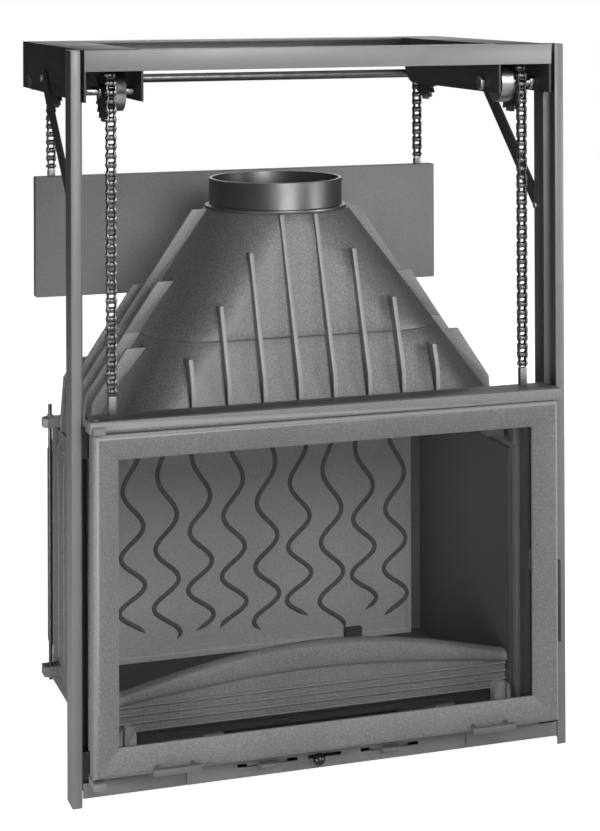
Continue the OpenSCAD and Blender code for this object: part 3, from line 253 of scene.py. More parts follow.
def wovenRope(name, base, strandMm):
    # braided glass yarn: short slanted strands, matt
    material, tree = startMaterial(name)
    strands = addNode(tree, "ShaderNodeTexWave", {
        "Scale": scaleFor(strandMm * ropeSet["strandsPerWave"]), "Distortion": ropeSet["distortion"],
        "bands_direction": "DIAGONAL"}, {"Vector": objectPlace(tree)}).outputs["Fac"]
    colour = shaded(tree, base, mapBand(tree, strands, ropeSet["shade"], (0.0, 1.0)))
    showPrincipled(tree, {"Roughness": ropeSet["rough"], "Sheen Weight": ropeSet["sheen"]},
                   {"Base Color": colour, "Normal": bumpFrom(tree, strands, ropeSet["depthMm"])})
    return material


# sheetPaint: colour, roughness; castPaint: colour, fleck, grit size and depth in mm, roughness;
# bareSteel: colour, roughness, tool line size and depth in mm
finishes = {
    "postPaint": sheetPaint("satinGreySheetPaint", "#727272", 0.42, metallic=0.3),
    "railPaint": sheetPaint("satinGreyRailPaint", "#7c7c7c", 0.44, metallic=0.3),
    "blackPaint": sheetPaint("satinBlackSheetPaint", "#383838", 0.5),
    "guidePaint": sheetPaint("satinChannelSheet", "#5a5a5a", 0.45, metallic=0.3),
    "catchPaint": sheetPaint("mattBlackLeverPaint", "#262626", 0.55),
    "platePaint": castPaint("rolledPlatePaint", "#707070", "#7a7a7a", 3.0, 0.02, 0.62),
    "plinthPaint": castPaint("graphiteSheetPaint", "#5c5c5c", "#666666", 1.6, 0.03, 0.6),
    "hoodPaint": castPaint("sandyHoodCasting", "#5e5e5e", "#808080", 2.2, 0.13, 0.5, edge="#929292",
                           metallic=0.4),
    "collarPaint": sheetPaint("turnedCollarPaint", "#686868", 0.4, metallic=0.8),
    "bodyPaint": castPaint("sandyBodyCasting", "#525252", "#6c6c6c", 1.8, 0.16, 0.68, edge="#8a8a8a"),
    "doorPaint": castPaint("flattedDoorCasting", "#585858", "#767676", 1.8, 0.1, 0.52, edge="#9a9a9a"),
    "barPaint": castPaint("speckledBarPaint", "#303030", "#5e5e5e", 2.2, 0.13, 0.55, edge="#9c9c9c"),
    "insideIron": castPaint("bareHearthIron", "#343434", "#424242", 2.2, 0.18, 0.7),
    "liningIron": castPaint("darkLiningIron", "#404040", "#4a4a4a", 2.0, 0.12, 0.75),
    "firebackIron": castPaint("roughFirebackIron", "#c6c6c6", "#e2e2e2", 1.8, 0.3, 0.7),
    # the wave lines are coloured darker than the plate they stand on
    "waveIron": castPaint("darkerWaveIron", "#5c5c5c", "#7a7a7a", 1.8, 0.3, 0.7),
    "guardIron": castPaint("rubbedGuardIron", "#6c6c6c", "#929292", 1.6, 0.2, 0.55, edge="#bcbcbc"),
    "handlePaint": sheetPaint("wornHandlePaint", "#5c5c5c", 0.4),
    "knobGloss": sheetPaint("blackKnobEnamel", "#161616", 0.2),
    "turned": bareSteel("turnedSteel", "#a0a0a0", 0.3, 0.6, 0.01),
    "shaft": bareSteel("groundShaftSteel", "#747474", 0.36, 0.6, 0.01),
    "chain": bareSteel("oiledChainSteel", "#7c7c7c", 0.38, 0.5, 0.01),
    "roller": bareSteel("polishedRollerSteel", "#d6d6d6", 0.25, 0.5, 0.01),
    "lug": bareSteel("sawnBarSteel", "#969696", 0.45, 0.5, 0.02, along="Z"),
    "zinc": bareSteel("zincPlatedSteel", "#d0d0d0", 0.36, 0.5, 0.01),
    "dark": bareSteel("blackOxideSteel", "#5a5a5a", 0.45, 0.5, 0.01),
    "pane": ceramicPane("clearCeramicPane"),
    "rope": wovenRope("glassRope", "#3a3a38", 2.0),
    "paper": wovenRope("ceramicPaper", "#8a877e", 1.0),
    "shoe": sheetPaint("mouldedPadPolymer", "#2e2e2c", 0.55),
}

finishNodes = {
    "postPaint": "post_left post_right",
    "railPaint": "front_rail rear_rail",
    "guidePaint": "guide_left guide_right",
    "blackPaint": "beam_left beam_right brace_left brace_right",
    "zinc": "frame_bolts tie_rod_nuts",
    "turned": "front_axles shaft_bushes hinge_pins",
    "chain": "chain_left chain_right",
    "bodyPaint": "base_casting side_wall_left side_wall_right rear_wall",
    "liningIron": "front_frame side_lining_left side_lining_right",
    "hoodPaint": "hood_lower hood_upper",
    "collarPaint": "flue_collar",
    "insideIron": "smoke_baffle hearth_plate grate",
    "firebackIron": "fireback",
    "catchPaint": "ash_box door_catch",
    "plinthPaint": "ash_pan plinth_ends plinth_middle glass_clips",
    "guardIron": "log_guard",
    "dark": "tie_rods rear_feet front_sprocket_left front_sprocket_right rear_sprocket_left "
            "rear_sprocket_right",
    "shaft": "rear_shaft",
    "platePaint": "counterweight",
    "lug": "counterweight_lugs carriage_lugs",
    "barPaint": "carriage",
    "shoe": "guide_shoes",
    "doorPaint": "door_frame",
    "pane": "door_glass",
    "paper": "glass_gasket",
    "rope": "door_seal",
    "handlePaint": "door_handles air_slider_left air_slider_right",
    "knobGloss": "draught_knob",
}
nodeFinish = {node: finish for finish, nodes in finishNodes.items() for node in nodes.split()}
bodyOf = {node: body for body, nodes in frame["record"]["behaviour"]["bodies"].items() for node in nodes}

for nodeName, finishName in nodeFinish.items():
    mesh = frame["nodes"][nodeName].data
    mesh.materials.clear()
    mesh.materials.append(finishes[finishName])
print("finishes set:", len(finishes))


def newPiece(name, mesh, node, finish=None, body=None, smoothAngle=35):
    # finish may name several materials; body False leaves the piece attached to no body
    piece = bpy.data.objects.new(name, mesh)
    bpy.context.collection.objects.link(piece)
    mesh.materials.clear()
    for finishName in (finish or nodeFinish[node]).split():
        mesh.materials.append(finishes[finishName])
    mesh.shade_smooth()
    mesh.set_sharp_from_angle(angle=math.radians(smoothAngle))
    if body is not False:
        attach(piece, body or bodyOf[node])
    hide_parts(node)
    return piece


def meshFrom(build, name):
    work = bmesh.new()
    build(work)
    bmesh.ops.recalc_face_normals(work, faces=work.faces[:])
    mesh = bpy.data.meshes.new(name)
    work.to_mesh(mesh)
    work.free()
    return mesh


def joinRings(work, rings):
    count = len(rings[0])
    return [work.faces.new((low[i], low[(i + 1) % count], high[(i + 1) % count], high[i]))
            for low, high in zip(rings, rings[1:]) for i in range(count)]


def addLoops(work, loops, finishIndex=0):
    # closes a stack of rings, each a list of points, into one solid
    rings = [[work.verts.new(p) for p in loop] for loop in loops]
    for face in joinRings(work, rings) + [work.faces.new(rings[0][::-1]), work.faces.new(rings[-1])]:
        face.material_index = finishIndex


roundSet = {"weld": 2e-6, "flatAngle": 0.5, "bevelAngle": 30, "sharpAngle": 32, "steps": 2}
# radius of each node's rounded edges, mm
edgeRounds = {
    "post_left": 0.7, "post_right": 0.7, "front_rail": 0.7, "rear_rail": 0.7, "beam_left": 0.8,
    "beam_right": 0.8, "brace_left": 0.6, "brace_right": 0.6, "guide_left": 0.5, "guide_right": 0.5,
    "counterweight": 0.9, "counterweight_lugs": 0.6, "carriage": 0.9, "carriage_lugs": 0.6,
    "door_frame": 0.8, "door_catch": 0.8, "door_handles": 0.8, "plinth_ends": 0.6, "plinth_middle": 0.5,
    "air_slider_left": 0.6, "air_slider_right": 0.6, "front_frame": 1.0, "base_casting": 1.2,
    "side_wall_left": 1.6, "side_wall_right": 1.6, "rear_wall": 1.6, "flue_collar": 1.0,
    "hearth_plate": 0.8, "grate": 1.0, "side_lining_left": 0.8, "side_lining_right": 0.8,
    "smoke_baffle": 1.0, "front_sprocket_left": 0.3, "front_sprocket_right": 0.3,
    "rear_sprocket_left": 0.3, "rear_sprocket_right": 0.3, "frame_bolts": 0.5, "front_axles": 0.5,
}
# the drums beside the front discs are worn bright; X below which their faces lie, mm
polished = {"front_sprocket_left": ("turned", 311), "front_sprocket_right": ("turned", 311)}


def weldedCopy(source):
    # one mesh without the frame's split corners and coplanar triangles
    work = bmesh.new()
    corners = [work.verts.new(v.co) for v in source.vertices]
    for polygon in source.polygons:
        try:
            work.faces.new([corners[i] for i in polygon.vertices])
        except ValueError:
            pass  # the same face twice
    bmesh.ops.remove_doubles(work, verts=work.verts[:], dist=roundSet["weld"])
    bmesh.ops.dissolve_limit(work, angle_limit=math.radians(roundSet["flatAngle"]), verts=work.verts[:],
                             edges=work.edges[:])
    return work


def softEdges(node, edgeMm):
    # the same solid with its sharp edges rounded, as a casting, a fold or a cut plate has them
    work = weldedCopy(frame["nodes"][node].data)
    mesh = bpy.data.meshes.new(node + "_soft")
    work.to_mesh(mesh)
    work.free()
    piece = newPiece(node + "_finished", mesh, node)
    bevel = piece.modifiers.new("roundedEdges", "BEVEL")
    bevel.width = edgeMm * mm
    bevel.segments = roundSet["steps"]
    bevel.limit_method = "ANGLE"
    bevel.angle_limit = math.radians(roundSet["bevelAngle"])
    bevel.use_clamp_overlap = True
    bpy.context.view_layer.update()
    rounded = bpy.data.meshes.new_from_object(piece.evaluated_get(bpy.context.evaluated_depsgraph_get()))
    piece.modifiers.clear()
    piece.data = rounded
    rounded.shade_smooth()
    rounded.set_sharp_from_angle(angle=math.radians(roundSet["sharpAngle"]))
    if node in polished:
        finish, within = polished[node]
        rounded.materials.append(finishes[finish])
        for face in rounded.polygons:
            face.material_index = int(abs(face.center.x) < within * mm)


for nodeName, edgeMm in edgeRounds.items():
    softEdges(nodeName, edgeMm)
print("edges rounded:", len(edgeRounds))


# links are counted from the door's end of the chain; slab is where the hanging links close up
chain = {
    "pitch": 12.7, "teeth": 20, "x": 315, "wheelZ": 990, "frontY": 58, "lift": 381,
    "frontLinks": 33, "runLinks": 27, "rearLinks": 11, "visibleLinks": 3,
    "slab": (985.0, 989.0), "foldSteps": (1, 1, 2, 3, 4, 8, 4, 3, 2, 1, 1), "smooth": 40,
    "plateR": 5.9, "waist": 4.1, "innerPlate": (3.95, 5.2), "outerPlate": (5.35, 6.6),
    "arcFrom": 62, "arcStep": 29.5, "arcPoints": 9, "plateEdge": 0.2, "plateShrink": 0.95,
    "rollerR": 4.25, "rollerHalf": 3.75, "rollerEdge": (0.4, 0.5),
    "pinR": 2.3, "pinHalf": 8.3, "pinTip": 0.7, "pinEdge": 0.4, "pinNeck": 0.3, "pinSides": 18,
}
wheelR = chain["pitch"] / (2 * math.sin(math.pi / chain["teeth"]))
rearY = chain["frontY"] + chain["runLinks"] * chain["pitch"]
wrapLinks = chain["teeth"] // 4
linkTurn = 360 / chain["teeth"]


def chainPoint(n):
    # Y and Z of the chain's nth pin: up the front, over both wheels, down behind
    wheelZ, pitchMm = chain["wheelZ"], chain["pitch"]
    if n < chain["frontLinks"]:
        return (chain["frontY"] - wheelR, wheelZ - (chain["frontLinks"] - n) * pitchMm)
    n -= chain["frontLinks"]
    if n < wrapLinks:
        turn = math.radians(n * linkTurn)
        return (chain["frontY"] - wheelR * math.cos(turn), wheelZ + wheelR * math.sin(turn))
    n -= wrapLinks
    if n < chain["runLinks"]:
        return (chain["frontY"] + n * pitchMm, wheelZ + wheelR)
    n -= chain["runLinks"]
    if n < wrapLinks:
        turn = math.radians(90 + n * linkTurn)
        return (rearY - wheelR * math.cos(turn), wheelZ + wheelR * math.sin(turn))
    n -= wrapLinks
    return (rearY + wheelR, wheelZ - n * pitchMm)


lastLink = chain["frontLinks"] + 2 * wrapLinks + chain["runLinks"] + chain["rearLinks"]
rearTop = lastLink - chain["rearLinks"]
hangLow = chainPoint(chain["visibleLinks"])[1]
hangReach = chain["wheelZ"] - hangLow


def asDrawn(z):
    return z


def closedUp(z):
    # height of a hanging link once its strand has closed up under the wheel
    slabLow, slabHigh = chain["slab"]
    return slabLow + (z - hangLow) / hangReach * (slabHigh - slabLow)


def plateOutline(length):
    # a side plate in its own plane, waisted between its two pins
    outline = []
    for middle, turn, waist in ((0, chain["arcFrom"], -chain["waist"]),
                                (length, chain["arcFrom"] - 180, chain["waist"])):
        for k in range(chain["arcPoints"]):
            a = math.radians(turn + k * chain["arcStep"])
            outline.append((middle + chain["plateR"] * math.cos(a), chain["plateR"] * math.sin(a)))
        outline.append((length / 2, waist))
    return outline


def addLink(work, x, start, end, outer, heightOf=asDrawn):
    dy, dz = end[0] - start[0], end[1] - start[1]
    length = math.hypot(dy, dz)
    along, across = (dy / length, dz / length), (-dz / length, dy / length)

    def at(u, v, side):
        y = start[0] + along[0] * u + across[0] * v
        z = start[1] + along[1] * u + across[1] * v
        return point(x + side, y, heightOf(z))

    outline = plateOutline(length)
    low, high = chain["outerPlate"] if outer else chain["innerPlate"]
    edge, small = chain["plateEdge"], chain["plateShrink"]
    mid = length / 2
    for side in (-1, 1):
        addLoops(work, [[at(mid + (u - mid) * shrink, v * shrink, side * offset) for u, v in outline]
                        for offset, shrink in ((low, small), (low + edge, 1.0), (high - edge, 1.0),
                                               (high, small))])


def addPin(work, x, centre, heightOf=asDrawn):
    # pin and roller in one turned profile
    count, bar, roller = chain["pinSides"], chain["pinR"], chain["rollerR"]
    half, head = chain["rollerHalf"], chain["pinHalf"]
    edgeR, edgeX = chain["rollerEdge"]
    profile = [(bar * chain["pinTip"], head), (bar, head - chain["pinEdge"]),
               (bar, half + chain["pinNeck"]), (roller - edgeR, half), (roller, half - edgeX)]
    profile = [(radius, -side) for radius, side in profile] + profile[::-1]
    turns = [2 * math.pi * k / count for k in range(count)]
    y, z = centre
    addLoops(work, [[point(x + side, y + radius * math.cos(a), heightOf(z + radius * math.sin(a)))
                     for a in turns] for radius, side in profile], 1)


def chainPiece(name, x, node, pins, body, firstPin, heightOf=asDrawn, withEnd=False):
    # pins are the Y and Z of each pin in turn; firstPin is the first one's number in the chain
    def build(work):
        for n, (start, end) in enumerate(zip(pins, pins[1:]), firstPin):
            addLink(work, x, start, end, n % 2 == 1, heightOf)
            addPin(work, x, start, heightOf)
        if withEnd:
            addPin(work, x, pins[-1], heightOf)
    return newPiece(name, meshFrom(build, name), node, "chain roller", body, chain["smooth"])


def pinsOf(first, last):
    return [chainPoint(n) for n in range(first, last + 1)]


def blendBetween(piece):
    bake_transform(piece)


for side, node in ((-1, "chain_left"), (1, "chain_right")):
    x, n, frontTop = side * chain["x"], chain["visibleLinks"], chain["frontLinks"]
    chainPiece(node + "_over_wheels", x, node, pinsOf(frontTop, rearTop), "frame", frontTop)
    chainPiece(node + "_front_end", x, node, pinsOf(0, n), "carriage", 0)
    chainPiece(node + "_rear_end", x, node, pinsOf(rearTop, lastLink), "counterweight", rearTop,
               withEnd=True)
    # these run over the wheel as the door rises: each step is drawn hanging in front, and closed up under
    # the wheel behind
    for k, count in enumerate(chain["foldSteps"]):
        pins = pinsOf(n, n + count)
        piece = chainPiece(f"{node}_front_{k}", x, node, pins, False, n)
        blendBetween(piece)
        pins = [(rearY + wheelR, z) for _, z in pins]
        piece = chainPiece(f"{node}_rear_{k}", x, node, pins, False, n, closedUp)
        blendBetween(piece)
        n += count
print("chains made")


# upright wavy lines that sway more towards the foot
back = {
    "width": 560, "height": 390, "foot": 58, "face": 388, "thick": 9, "edge": 1,
    "rim": 10, "rimRise": 2.0, "rimSlope": 2, "lines": 10, "lineR": 4.0, "lineRise": 3.0, "lineSink": 0.5,
    "swing": 1 / 30, "reach": (0.7, 0.5), "turn": 1080, "power": 1.4, "phase": 67,
    "footPhase": 77, "low": (0.05, 0.07), "high": 0.96,
    "steps": 150, "sides": 8, "taperSteps": 4, "tip": 0.15, "slopeStep": 1e-3, "smooth": 60,
}


def waveX(k, t):
    u = min(1, max(0, 1 - t))
    middle = (k - (back["lines"] - 1) / 2) * back["width"] / back["lines"]
    swing = back["width"] * back["swing"] * (back["reach"][0] + back["reach"][1] * u)
    return middle + swing * math.sin(math.radians(back["turn"] * u ** back["power"] + back["phase"] * k))


def buildPlate(work):
    half, low, high = back["width"] / 2, back["foot"], back["foot"] + back["height"]
    face, rear, edge, rim = back["face"], back["face"] + back["thick"], back["edge"], back["rim"]
    front = face - back["rimRise"]
    addLoops(work, [[point(sx * (half - inset), y, low + inset if down else high - inset)
                     for sx, down in ((-1, True), (1, True), (1, False), (-1, False))]
                    for inset, y in ((edge, rear), (0, rear - edge), (0, front + edge), (edge, front),
                                     (rim - back["rimSlope"], front), (rim, face))])


def buildWaves(work):
    turns = [math.pi * j / back["sides"] for j in range(back["sides"] + 1)]
    dt = back["slopeStep"]
    for k in range(back["lines"]):
        low = back["low"][0] + back["low"][1] * abs(math.sin(math.radians(back["footPhase"] * k)))
        span = back["high"] - low
        loops = []
        for i in range(back["steps"] + 1):
            t = i / back["steps"]
            x, z = waveX(k, t), back["foot"] + back["height"] * (low + span * t)
            dx = waveX(k, t + dt) - waveX(k, t - dt)
            dz = back["height"] * span * 2 * dt
            size = math.hypot(dx, dz)
            nx, nz = dz / size, -dx / size
            # each line tapers out at its ends
            end = min(1, min(i, back["steps"] - i) / back["taperSteps"] + back["tip"])
            ring = []
            for a in turns:
                out, up = back["lineR"] * end * math.cos(a), back["lineRise"] * end * math.sin(a)
                ring.append(point(x + nx * out, back["face"] + back["lineSink"] - up, z + nz * out))
            loops.append(ring)
        addLoops(work, loops)


newPiece("fireback_plate", meshFrom(buildPlate, "firebackPlate"), "fireback", "firebackIron")
newPiece("fireback_waves", meshFrom(buildWaves, "firebackWaves"), "fireback", "waveIron",
         smoothAngle=back["smooth"])
print("fireback made")


# an arched bar with a round nose over straight mouldings, between two slotted ears
guard = {
    "width": 600, "face": 52, "thick": 12, "foot": 76.75, "top": 133, "rise": 44, "steps": 60, "floor": 58,
    "bar": 16.8, "bulge": 8, "noseTurn": 84, "noseSteps": 12, "nosePower": 0.7, "shelf": 2,
    "rearEdge": ((0, 4), (1.5, 1), (4, 0)), "mould": 4, "mouldings": 4, "pitch": 11.6, "groove": 0.6,
    "step": 0.3, "crown": 0.55, "heel": 0.6, "smooth": 50,
    "ear": {"x": 289, "wide": 26, "high": 33, "deep": 16, "slotFrom": 4.33, "slot": 3, "edge": 0.8,
            "sideEdge": 0.9, "sink": 0.9, "clear": 0.1, "steps": 12},
}


def guardSection(x):
    # Y and Z round the bar's section at this X, from its rear foot up and over to the front
    face, foot, mould, step = guard["face"], guard["foot"], guard["mould"], guard["step"]
    rear, groove = face + guard["thick"], face + guard["groove"]
    arch = guard["rise"] * math.cos(math.radians(x / guard["width"] * 180))
    top, low = guard["top"] + arch, guard["top"] - guard["bar"] + arch / 2
    nose = top - guard["shelf"]
    middle, reach = (nose + low) / 2, (nose - low) / 2
    section = [(rear, foot + 1)] + [(rear - inward, top - down) for inward, down in guard["rearEdge"]]
    section.append((face + guard["shelf"], top))
    for j in range(1, guard["noseSteps"]):
        a = math.radians(guard["noseTurn"] - 2 * guard["noseTurn"] * j / guard["noseSteps"])
        bulge = guard["bulge"] * math.cos(a) ** guard["nosePower"]
        section.append((face - bulge, middle + reach * math.sin(a)))
    section.append((groove, low - step))
    for k in reversed(range(guard["mouldings"])):
        base = foot + k * guard["pitch"]
        section += [(groove, base + mould + step), (face - mould * guard["crown"], base + mould - step),
                    (face - mould, base + mould * guard["crown"]),
                    (face - mould * guard["heel"], base + step), (groove, base)]
    return section + [(face + guard["shelf"], foot)]


def addEar(work, side, first, last):
    # one leg of an ear, between these two distances from the ear's middle
    ear, face, floor = guard["ear"], guard["face"], guard["floor"]
    r = ear["wide"] / 2
    rings = []
    front = face - ear["deep"]
    for y, grow in ((front, -ear["edge"]), (front + ear["edge"], 0), (face + ear["sink"], 0)):
        inward, foot = grow * ear["sideEdge"], floor + ear["clear"]
        outline = [(last + inward, foot), (first - inward, foot)]
        for j in range(ear["steps"] + 1):
            dx = first - inward + (last - first + 2 * ear["sideEdge"] * grow) * j / ear["steps"]
            rise = math.sqrt(max(0, r * r - dx * dx))
            outline.append((dx, floor + ear["high"] - r + rise + grow))
        rings.append([point(side * (ear["x"] + dx), y, z) for dx, z in outline])
    addLoops(work, rings)


def buildGuard(work):
    width, steps = guard["width"], guard["steps"]
    stations = [-width / 2 + width * i / steps for i in range(steps + 1)]
    addLoops(work, [[point(x, y, z) for y, z in guardSection(x)] for x in stations])
    ear = guard["ear"]
    for side in (-1, 1):
        addEar(work, side, -ear["wide"] / 2, ear["slotFrom"])
        addEar(work, side, ear["slotFrom"] + ear["slot"], ear["wide"] / 2)


newPiece("log_guard_bar", meshFrom(buildGuard, "logGuardBar"), "log_guard", smoothAngle=guard["smooth"])
print("log guard made")


# top, skirt and foot are half width, front, rear and corner radius of the hood at those heights
hood = {
    "topZ": 794, "jointZ": 620, "skirtZ": 500, "footZ": 445, "wall": 8, "round": 1.6, "smooth": 38,
    "top": (113, 134, 360, 113), "skirt": (312, 40, 410, 90), "foot": (318, 34, 416, 30),
    "levels": 10, "skirtBand": 14, "cornerSteps": 14, "straightEnd": 2.0,
    "ribEdge": 1.3, "ribSink": 0.6, "ribSteps": 8,
    "frontRibs": {"x": (27, 81, 135, 189), "top": (794, 742, 670, 600), "thick": 7, "kink": (44, 566),
                  "head": (130, 794), "foot": (35, 445)},
    "sideRibs": {"y": (145, 196, 247, 298, 349), "top": (606, 694, 794, 676, 559), "thick": 8,
                 "slope": 0.6769, "reach": 23, "foot": (320, 445), "bend": (320, 468), "low": (315, 529.5)},
    "lugs": {"y": (82, 362), "x": (280, 346), "z": (451, 466), "half": 12, "corner": 6, "edge": 1.6},
    "throat": {"x": 320, "front": 34, "rear": 124, "top": 512, "side": 12, "plate": 8, "edge": 1.2,
               "past": 6, "steps": 12},
}
roundShare = 0.3  # a rounded edge has one point between its ends, at this share of its radius


def hoodOutline(z):
    # half width, front, rear and corner radius of the rounded rectangle at this height
    first, last, low, high = (("skirt", "top", hood["skirtZ"], hood["topZ"]) if z >= hood["skirtZ"]
                              else ("foot", "skirt", hood["footZ"], hood["skirtZ"]))
    share = (z - low) / (high - low)
    return [a + (b - a) * share for a, b in zip(hood[first], hood[last])]


def hoodFront(x, z):
    wide, front, _, r = hoodOutline(z)
    over = max(0, abs(x) - (wide - r))
    return front + r - math.sqrt(max(0, r * r - over * over))


def hoodSide(y, z):
    wide, front, rear, r = hoodOutline(z)
    over = max(0, front + r - y, y - (rear - r))
    return wide - r + math.sqrt(max(0, r * r - over * over))


def hoodRing(z, inset):
    wide, front, rear, r = hoodOutline(z)
    steps = hood["cornerSteps"]
    ring = []
    for sx, y, turn in ((1, rear - r, 0), (-1, rear - r, 90), (-1, front + r, 180), (1, front + r, 270)):
        for a in (math.radians(turn + 90 * j / steps) for j in range(steps + 1)):
            ring.append((sx * (wide - r) + (r - inset) * math.cos(a), y + (r - inset) * math.sin(a)))
    full = []
    for i, (x, y) in enumerate(ring):
        full.append((x, y))
        if i % (steps + 1) == steps:  # a point close to each end of a straight side keeps it flat
            dx, dy = ring[(i + 1) % len(ring)][0] - x, ring[(i + 1) % len(ring)][1] - y
            length = max(1e-6, math.hypot(dx, dy))
            near = min(hood["straightEnd"], length / 3)
            full.append((x + dx * near / length, y + dy * near / length))
            full.append((x + dx - dx * near / length, y + dy - dy * near / length))
    return [point(x, y, z) for x, y in full]


def outlineInset(outline, inset):
    # moves a counter-clockwise outline inwards, and holds back the point of a sharp corner
    moved = []
    for i, (u, v) in enumerate(outline):
        (u0, v0), (u1, v1) = outline[i - 1], outline[(i + 1) % len(outline)]
        a, b = math.hypot(u - u0, v - v0), math.hypot(u1 - u, v1 - v)
        n0, n1 = (-(v - v0) / a, (u - u0) / a), (-(v1 - v) / b, (u1 - u) / b)
        size = max(0.5, 1 + n0[0] * n1[0] + n0[1] * n1[1])
        moved.append((u + inset * (n0[0] + n1[0]) / size, v + inset * (n0[1] + n1[1]) / size))
    return moved


def addPlate(work, outline, middle, thick, place, edge):
    # a flat plate with this outline, rounded along its edges; place(u, v, s) gives the point
    if sum(a[0] * b[1] - b[0] * a[1] for a, b in zip(outline, outline[1:] + outline[:1])) < 0:
        outline = outline[::-1]
    half, small = thick / 2, edge * roundShare
    addLoops(work, [[place(u, v, middle + s) for u, v in outlineInset(outline, inset)]
                    for s, inset in ((-half, edge), (-half + small, small), (-half + edge, 0),
                                     (half - edge, 0), (half - small, small), (half, edge))])


def ribOutline(outer, inner, z0, z1):
    # outer is a list of (out, z) from the foot up; the outline is cut off between z0 and z1
    def outAt(z):
        for (a, za), (b, zb) in zip(outer, outer[1:]):
            if z <= zb:
                return a + (b - a) * (z - za) / (zb - za)
        return outer[-1][0]
    top, steps = min(z1, outer[-1][1]), hood["ribSteps"]
    heights = [z0] + [z for _, z in outer if z0 < z < top] + [top]
    return [(outAt(z), z) for z in heights] + [
        (inner(z), z) for z in (top + (z0 - top) * j / steps for j in range(steps + 1))]


def cutBox(work, low, high):
    # takes a box out of the solid built so far
    bmesh.ops.recalc_face_normals(work, faces=work.faces[:])
    skin = bpy.data.objects.new("hoodSkin", bpy.data.meshes.new("hoodSkin"))
    work.to_mesh(skin.data)
    corners = [point(x, y, z) for z in (low[2], high[2])
               for x, y in ((low[0], low[1]), (high[0], low[1]), (high[0], high[1]), (low[0], high[1]))]
    cutter = bpy.data.objects.new("hoodCutter", meshFrom(
        lambda box: addLoops(box, [corners[:4], corners[4:]]), "hoodCutter"))
    for item in (skin, cutter):
        bpy.context.collection.objects.link(item)
    cut = skin.modifiers.new("mouth", "BOOLEAN")
    cut.operation, cut.solver, cut.object = "DIFFERENCE", "EXACT", cutter
    work.clear()
    work.from_mesh(skin.evaluated_get(bpy.context.evaluated_depsgraph_get()).data)
    for item in (skin, cutter):
        bpy.data.meshes.remove(item.data)


def addThroat(work):
    # square throat between the hood's rounded corners and the front frame
    throat = hood["throat"]
    side, front, rear, top = throat["x"], throat["front"], throat["rear"], throat["top"]
    thick, plate, edge, past = throat["side"], throat["plate"], throat["edge"], throat["past"]
    foot, steps = hood["footZ"], throat["steps"]
    cutBox(work, (thick - side, front - past, foot - past), (side - thick, rear - plate, top - plate))
    for sx in (-1, 1):
        addPlate(work, [(front, foot), (rear, foot), (rear, top), (front, top)],
                 sx * (side - thick / 2), thick, lambda u, v, s: point(s, u, v), edge)
        addPlate(work, [(side - 2 * plate, foot), (side, foot), (side, top), (side - 2 * plate, top)],
                 rear - plate / 2, plate, lambda u, v, s: point(sx * u, s, v), edge)
    # the level plate on top runs back to the middle of the hood's own wall
    level = top - plate / 2
    wide, near, _, r = hoodOutline(level)
    inside = r - plate / 2
    turn = math.acos((near + r - rear) / inside)
    arc = [(wide - r + inside * math.sin(a), near + r - inside * math.cos(a))
           for a in (turn * (1 - j / steps) for j in range(steps + 1))]
    outline = [(-side, front), (side, front), (side, rear)] + arc
    outline += [(-x, y) for x, y in arc[::-1]] + [(-side, rear)]
    addPlate(work, outline, level, plate, lambda u, v, s: point(u, v, s), edge)


def addShell(work, z0, z1):
    r, wall, levels = hood["round"], hood["wall"], hood["levels"]
    skirtZ, band = hood["skirtZ"], hood["skirtBand"]
    small = r * roundShare
    heights = [z0 + (z1 - z0) * j / levels for j in range(1, levels)]
    if z0 < skirtZ < z1:
        heights = sorted(heights + [skirtZ - band, skirtZ, skirtZ + band])
    outside = [(z0, r), (z0 + small, small), (z0 + r, 0)] + [(z, 0) for z in heights]
    outside += [(z1 - r, 0), (z1 - small, small), (z1, r)]
    loops = [hoodRing(z, inset) for z, inset in outside]
    loops += [hoodRing(z, wall) for z in (z1, (z0 + z1) / 2, z0)]
    rings = [[work.verts.new(p) for p in loop] for loop in loops]
    joinRings(work, rings + rings[:1])


def addFrontRibs(work, z0, z1, ribFoot):
    ribs, sink = hood["frontRibs"], hood["wall"] * hood["ribSink"]
    (kinkOut, kinkZ), (headOut, headZ) = ribs["kink"], ribs["head"]
    slope = (headOut - kinkOut) / (headZ - kinkZ)
    for x, top in zip(ribs["x"], ribs["top"]):
        if top <= z0:
            continue
        outline = ribOutline([ribs["foot"], ribs["kink"], (kinkOut + slope * (top - kinkZ), top)],
                             lambda z: hoodFront(x + ribs["thick"] / 2, z) + sink, ribFoot, z1)
        for side in (-1, 1):
            addPlate(work, outline, side * x, ribs["thick"], lambda u, v, s: point(s, u, v),
                     hood["ribEdge"])


def addSideRibs(work, z0, z1):
    ribs, sink = hood["sideRibs"], hood["wall"] * hood["ribSink"]
    half = ribs["thick"] / 2
    for y, top in zip(ribs["y"], ribs["top"]):
        if top <= z0:
            continue
        head = (hood["top"][0] + ribs["reach"] + (hood["topZ"] - top) * ribs["slope"], top)
        outline = ribOutline([ribs["foot"], ribs["bend"], ribs["low"], head],
                             lambda z: min(hoodSide(y - half, z), hoodSide(y + half, z)) - sink, z0, z1)
        for side in (-1, 1):
            addPlate(work, outline, y, ribs["thick"], lambda u, v, s: point(side * u, s, v),
                     hood["ribEdge"])


def addLugs(work):
    lugs = hood["lugs"]
    (x0, x1), (zLow, zHigh), wide, corner = lugs["x"], lugs["z"], lugs["half"], lugs["corner"]
    for y in lugs["y"]:
        outline = [(x0, y - wide), (x1 - corner, y - wide), (x1, y - wide + corner),
                   (x1, y + wide - corner), (x1 - corner, y + wide), (x0, y + wide)]
        for side in (-1, 1):
            addPlate(work, outline, (zLow + zHigh) / 2, zHigh - zLow, lambda u, v, s: point(side * u, v, s),
                     lugs["edge"])


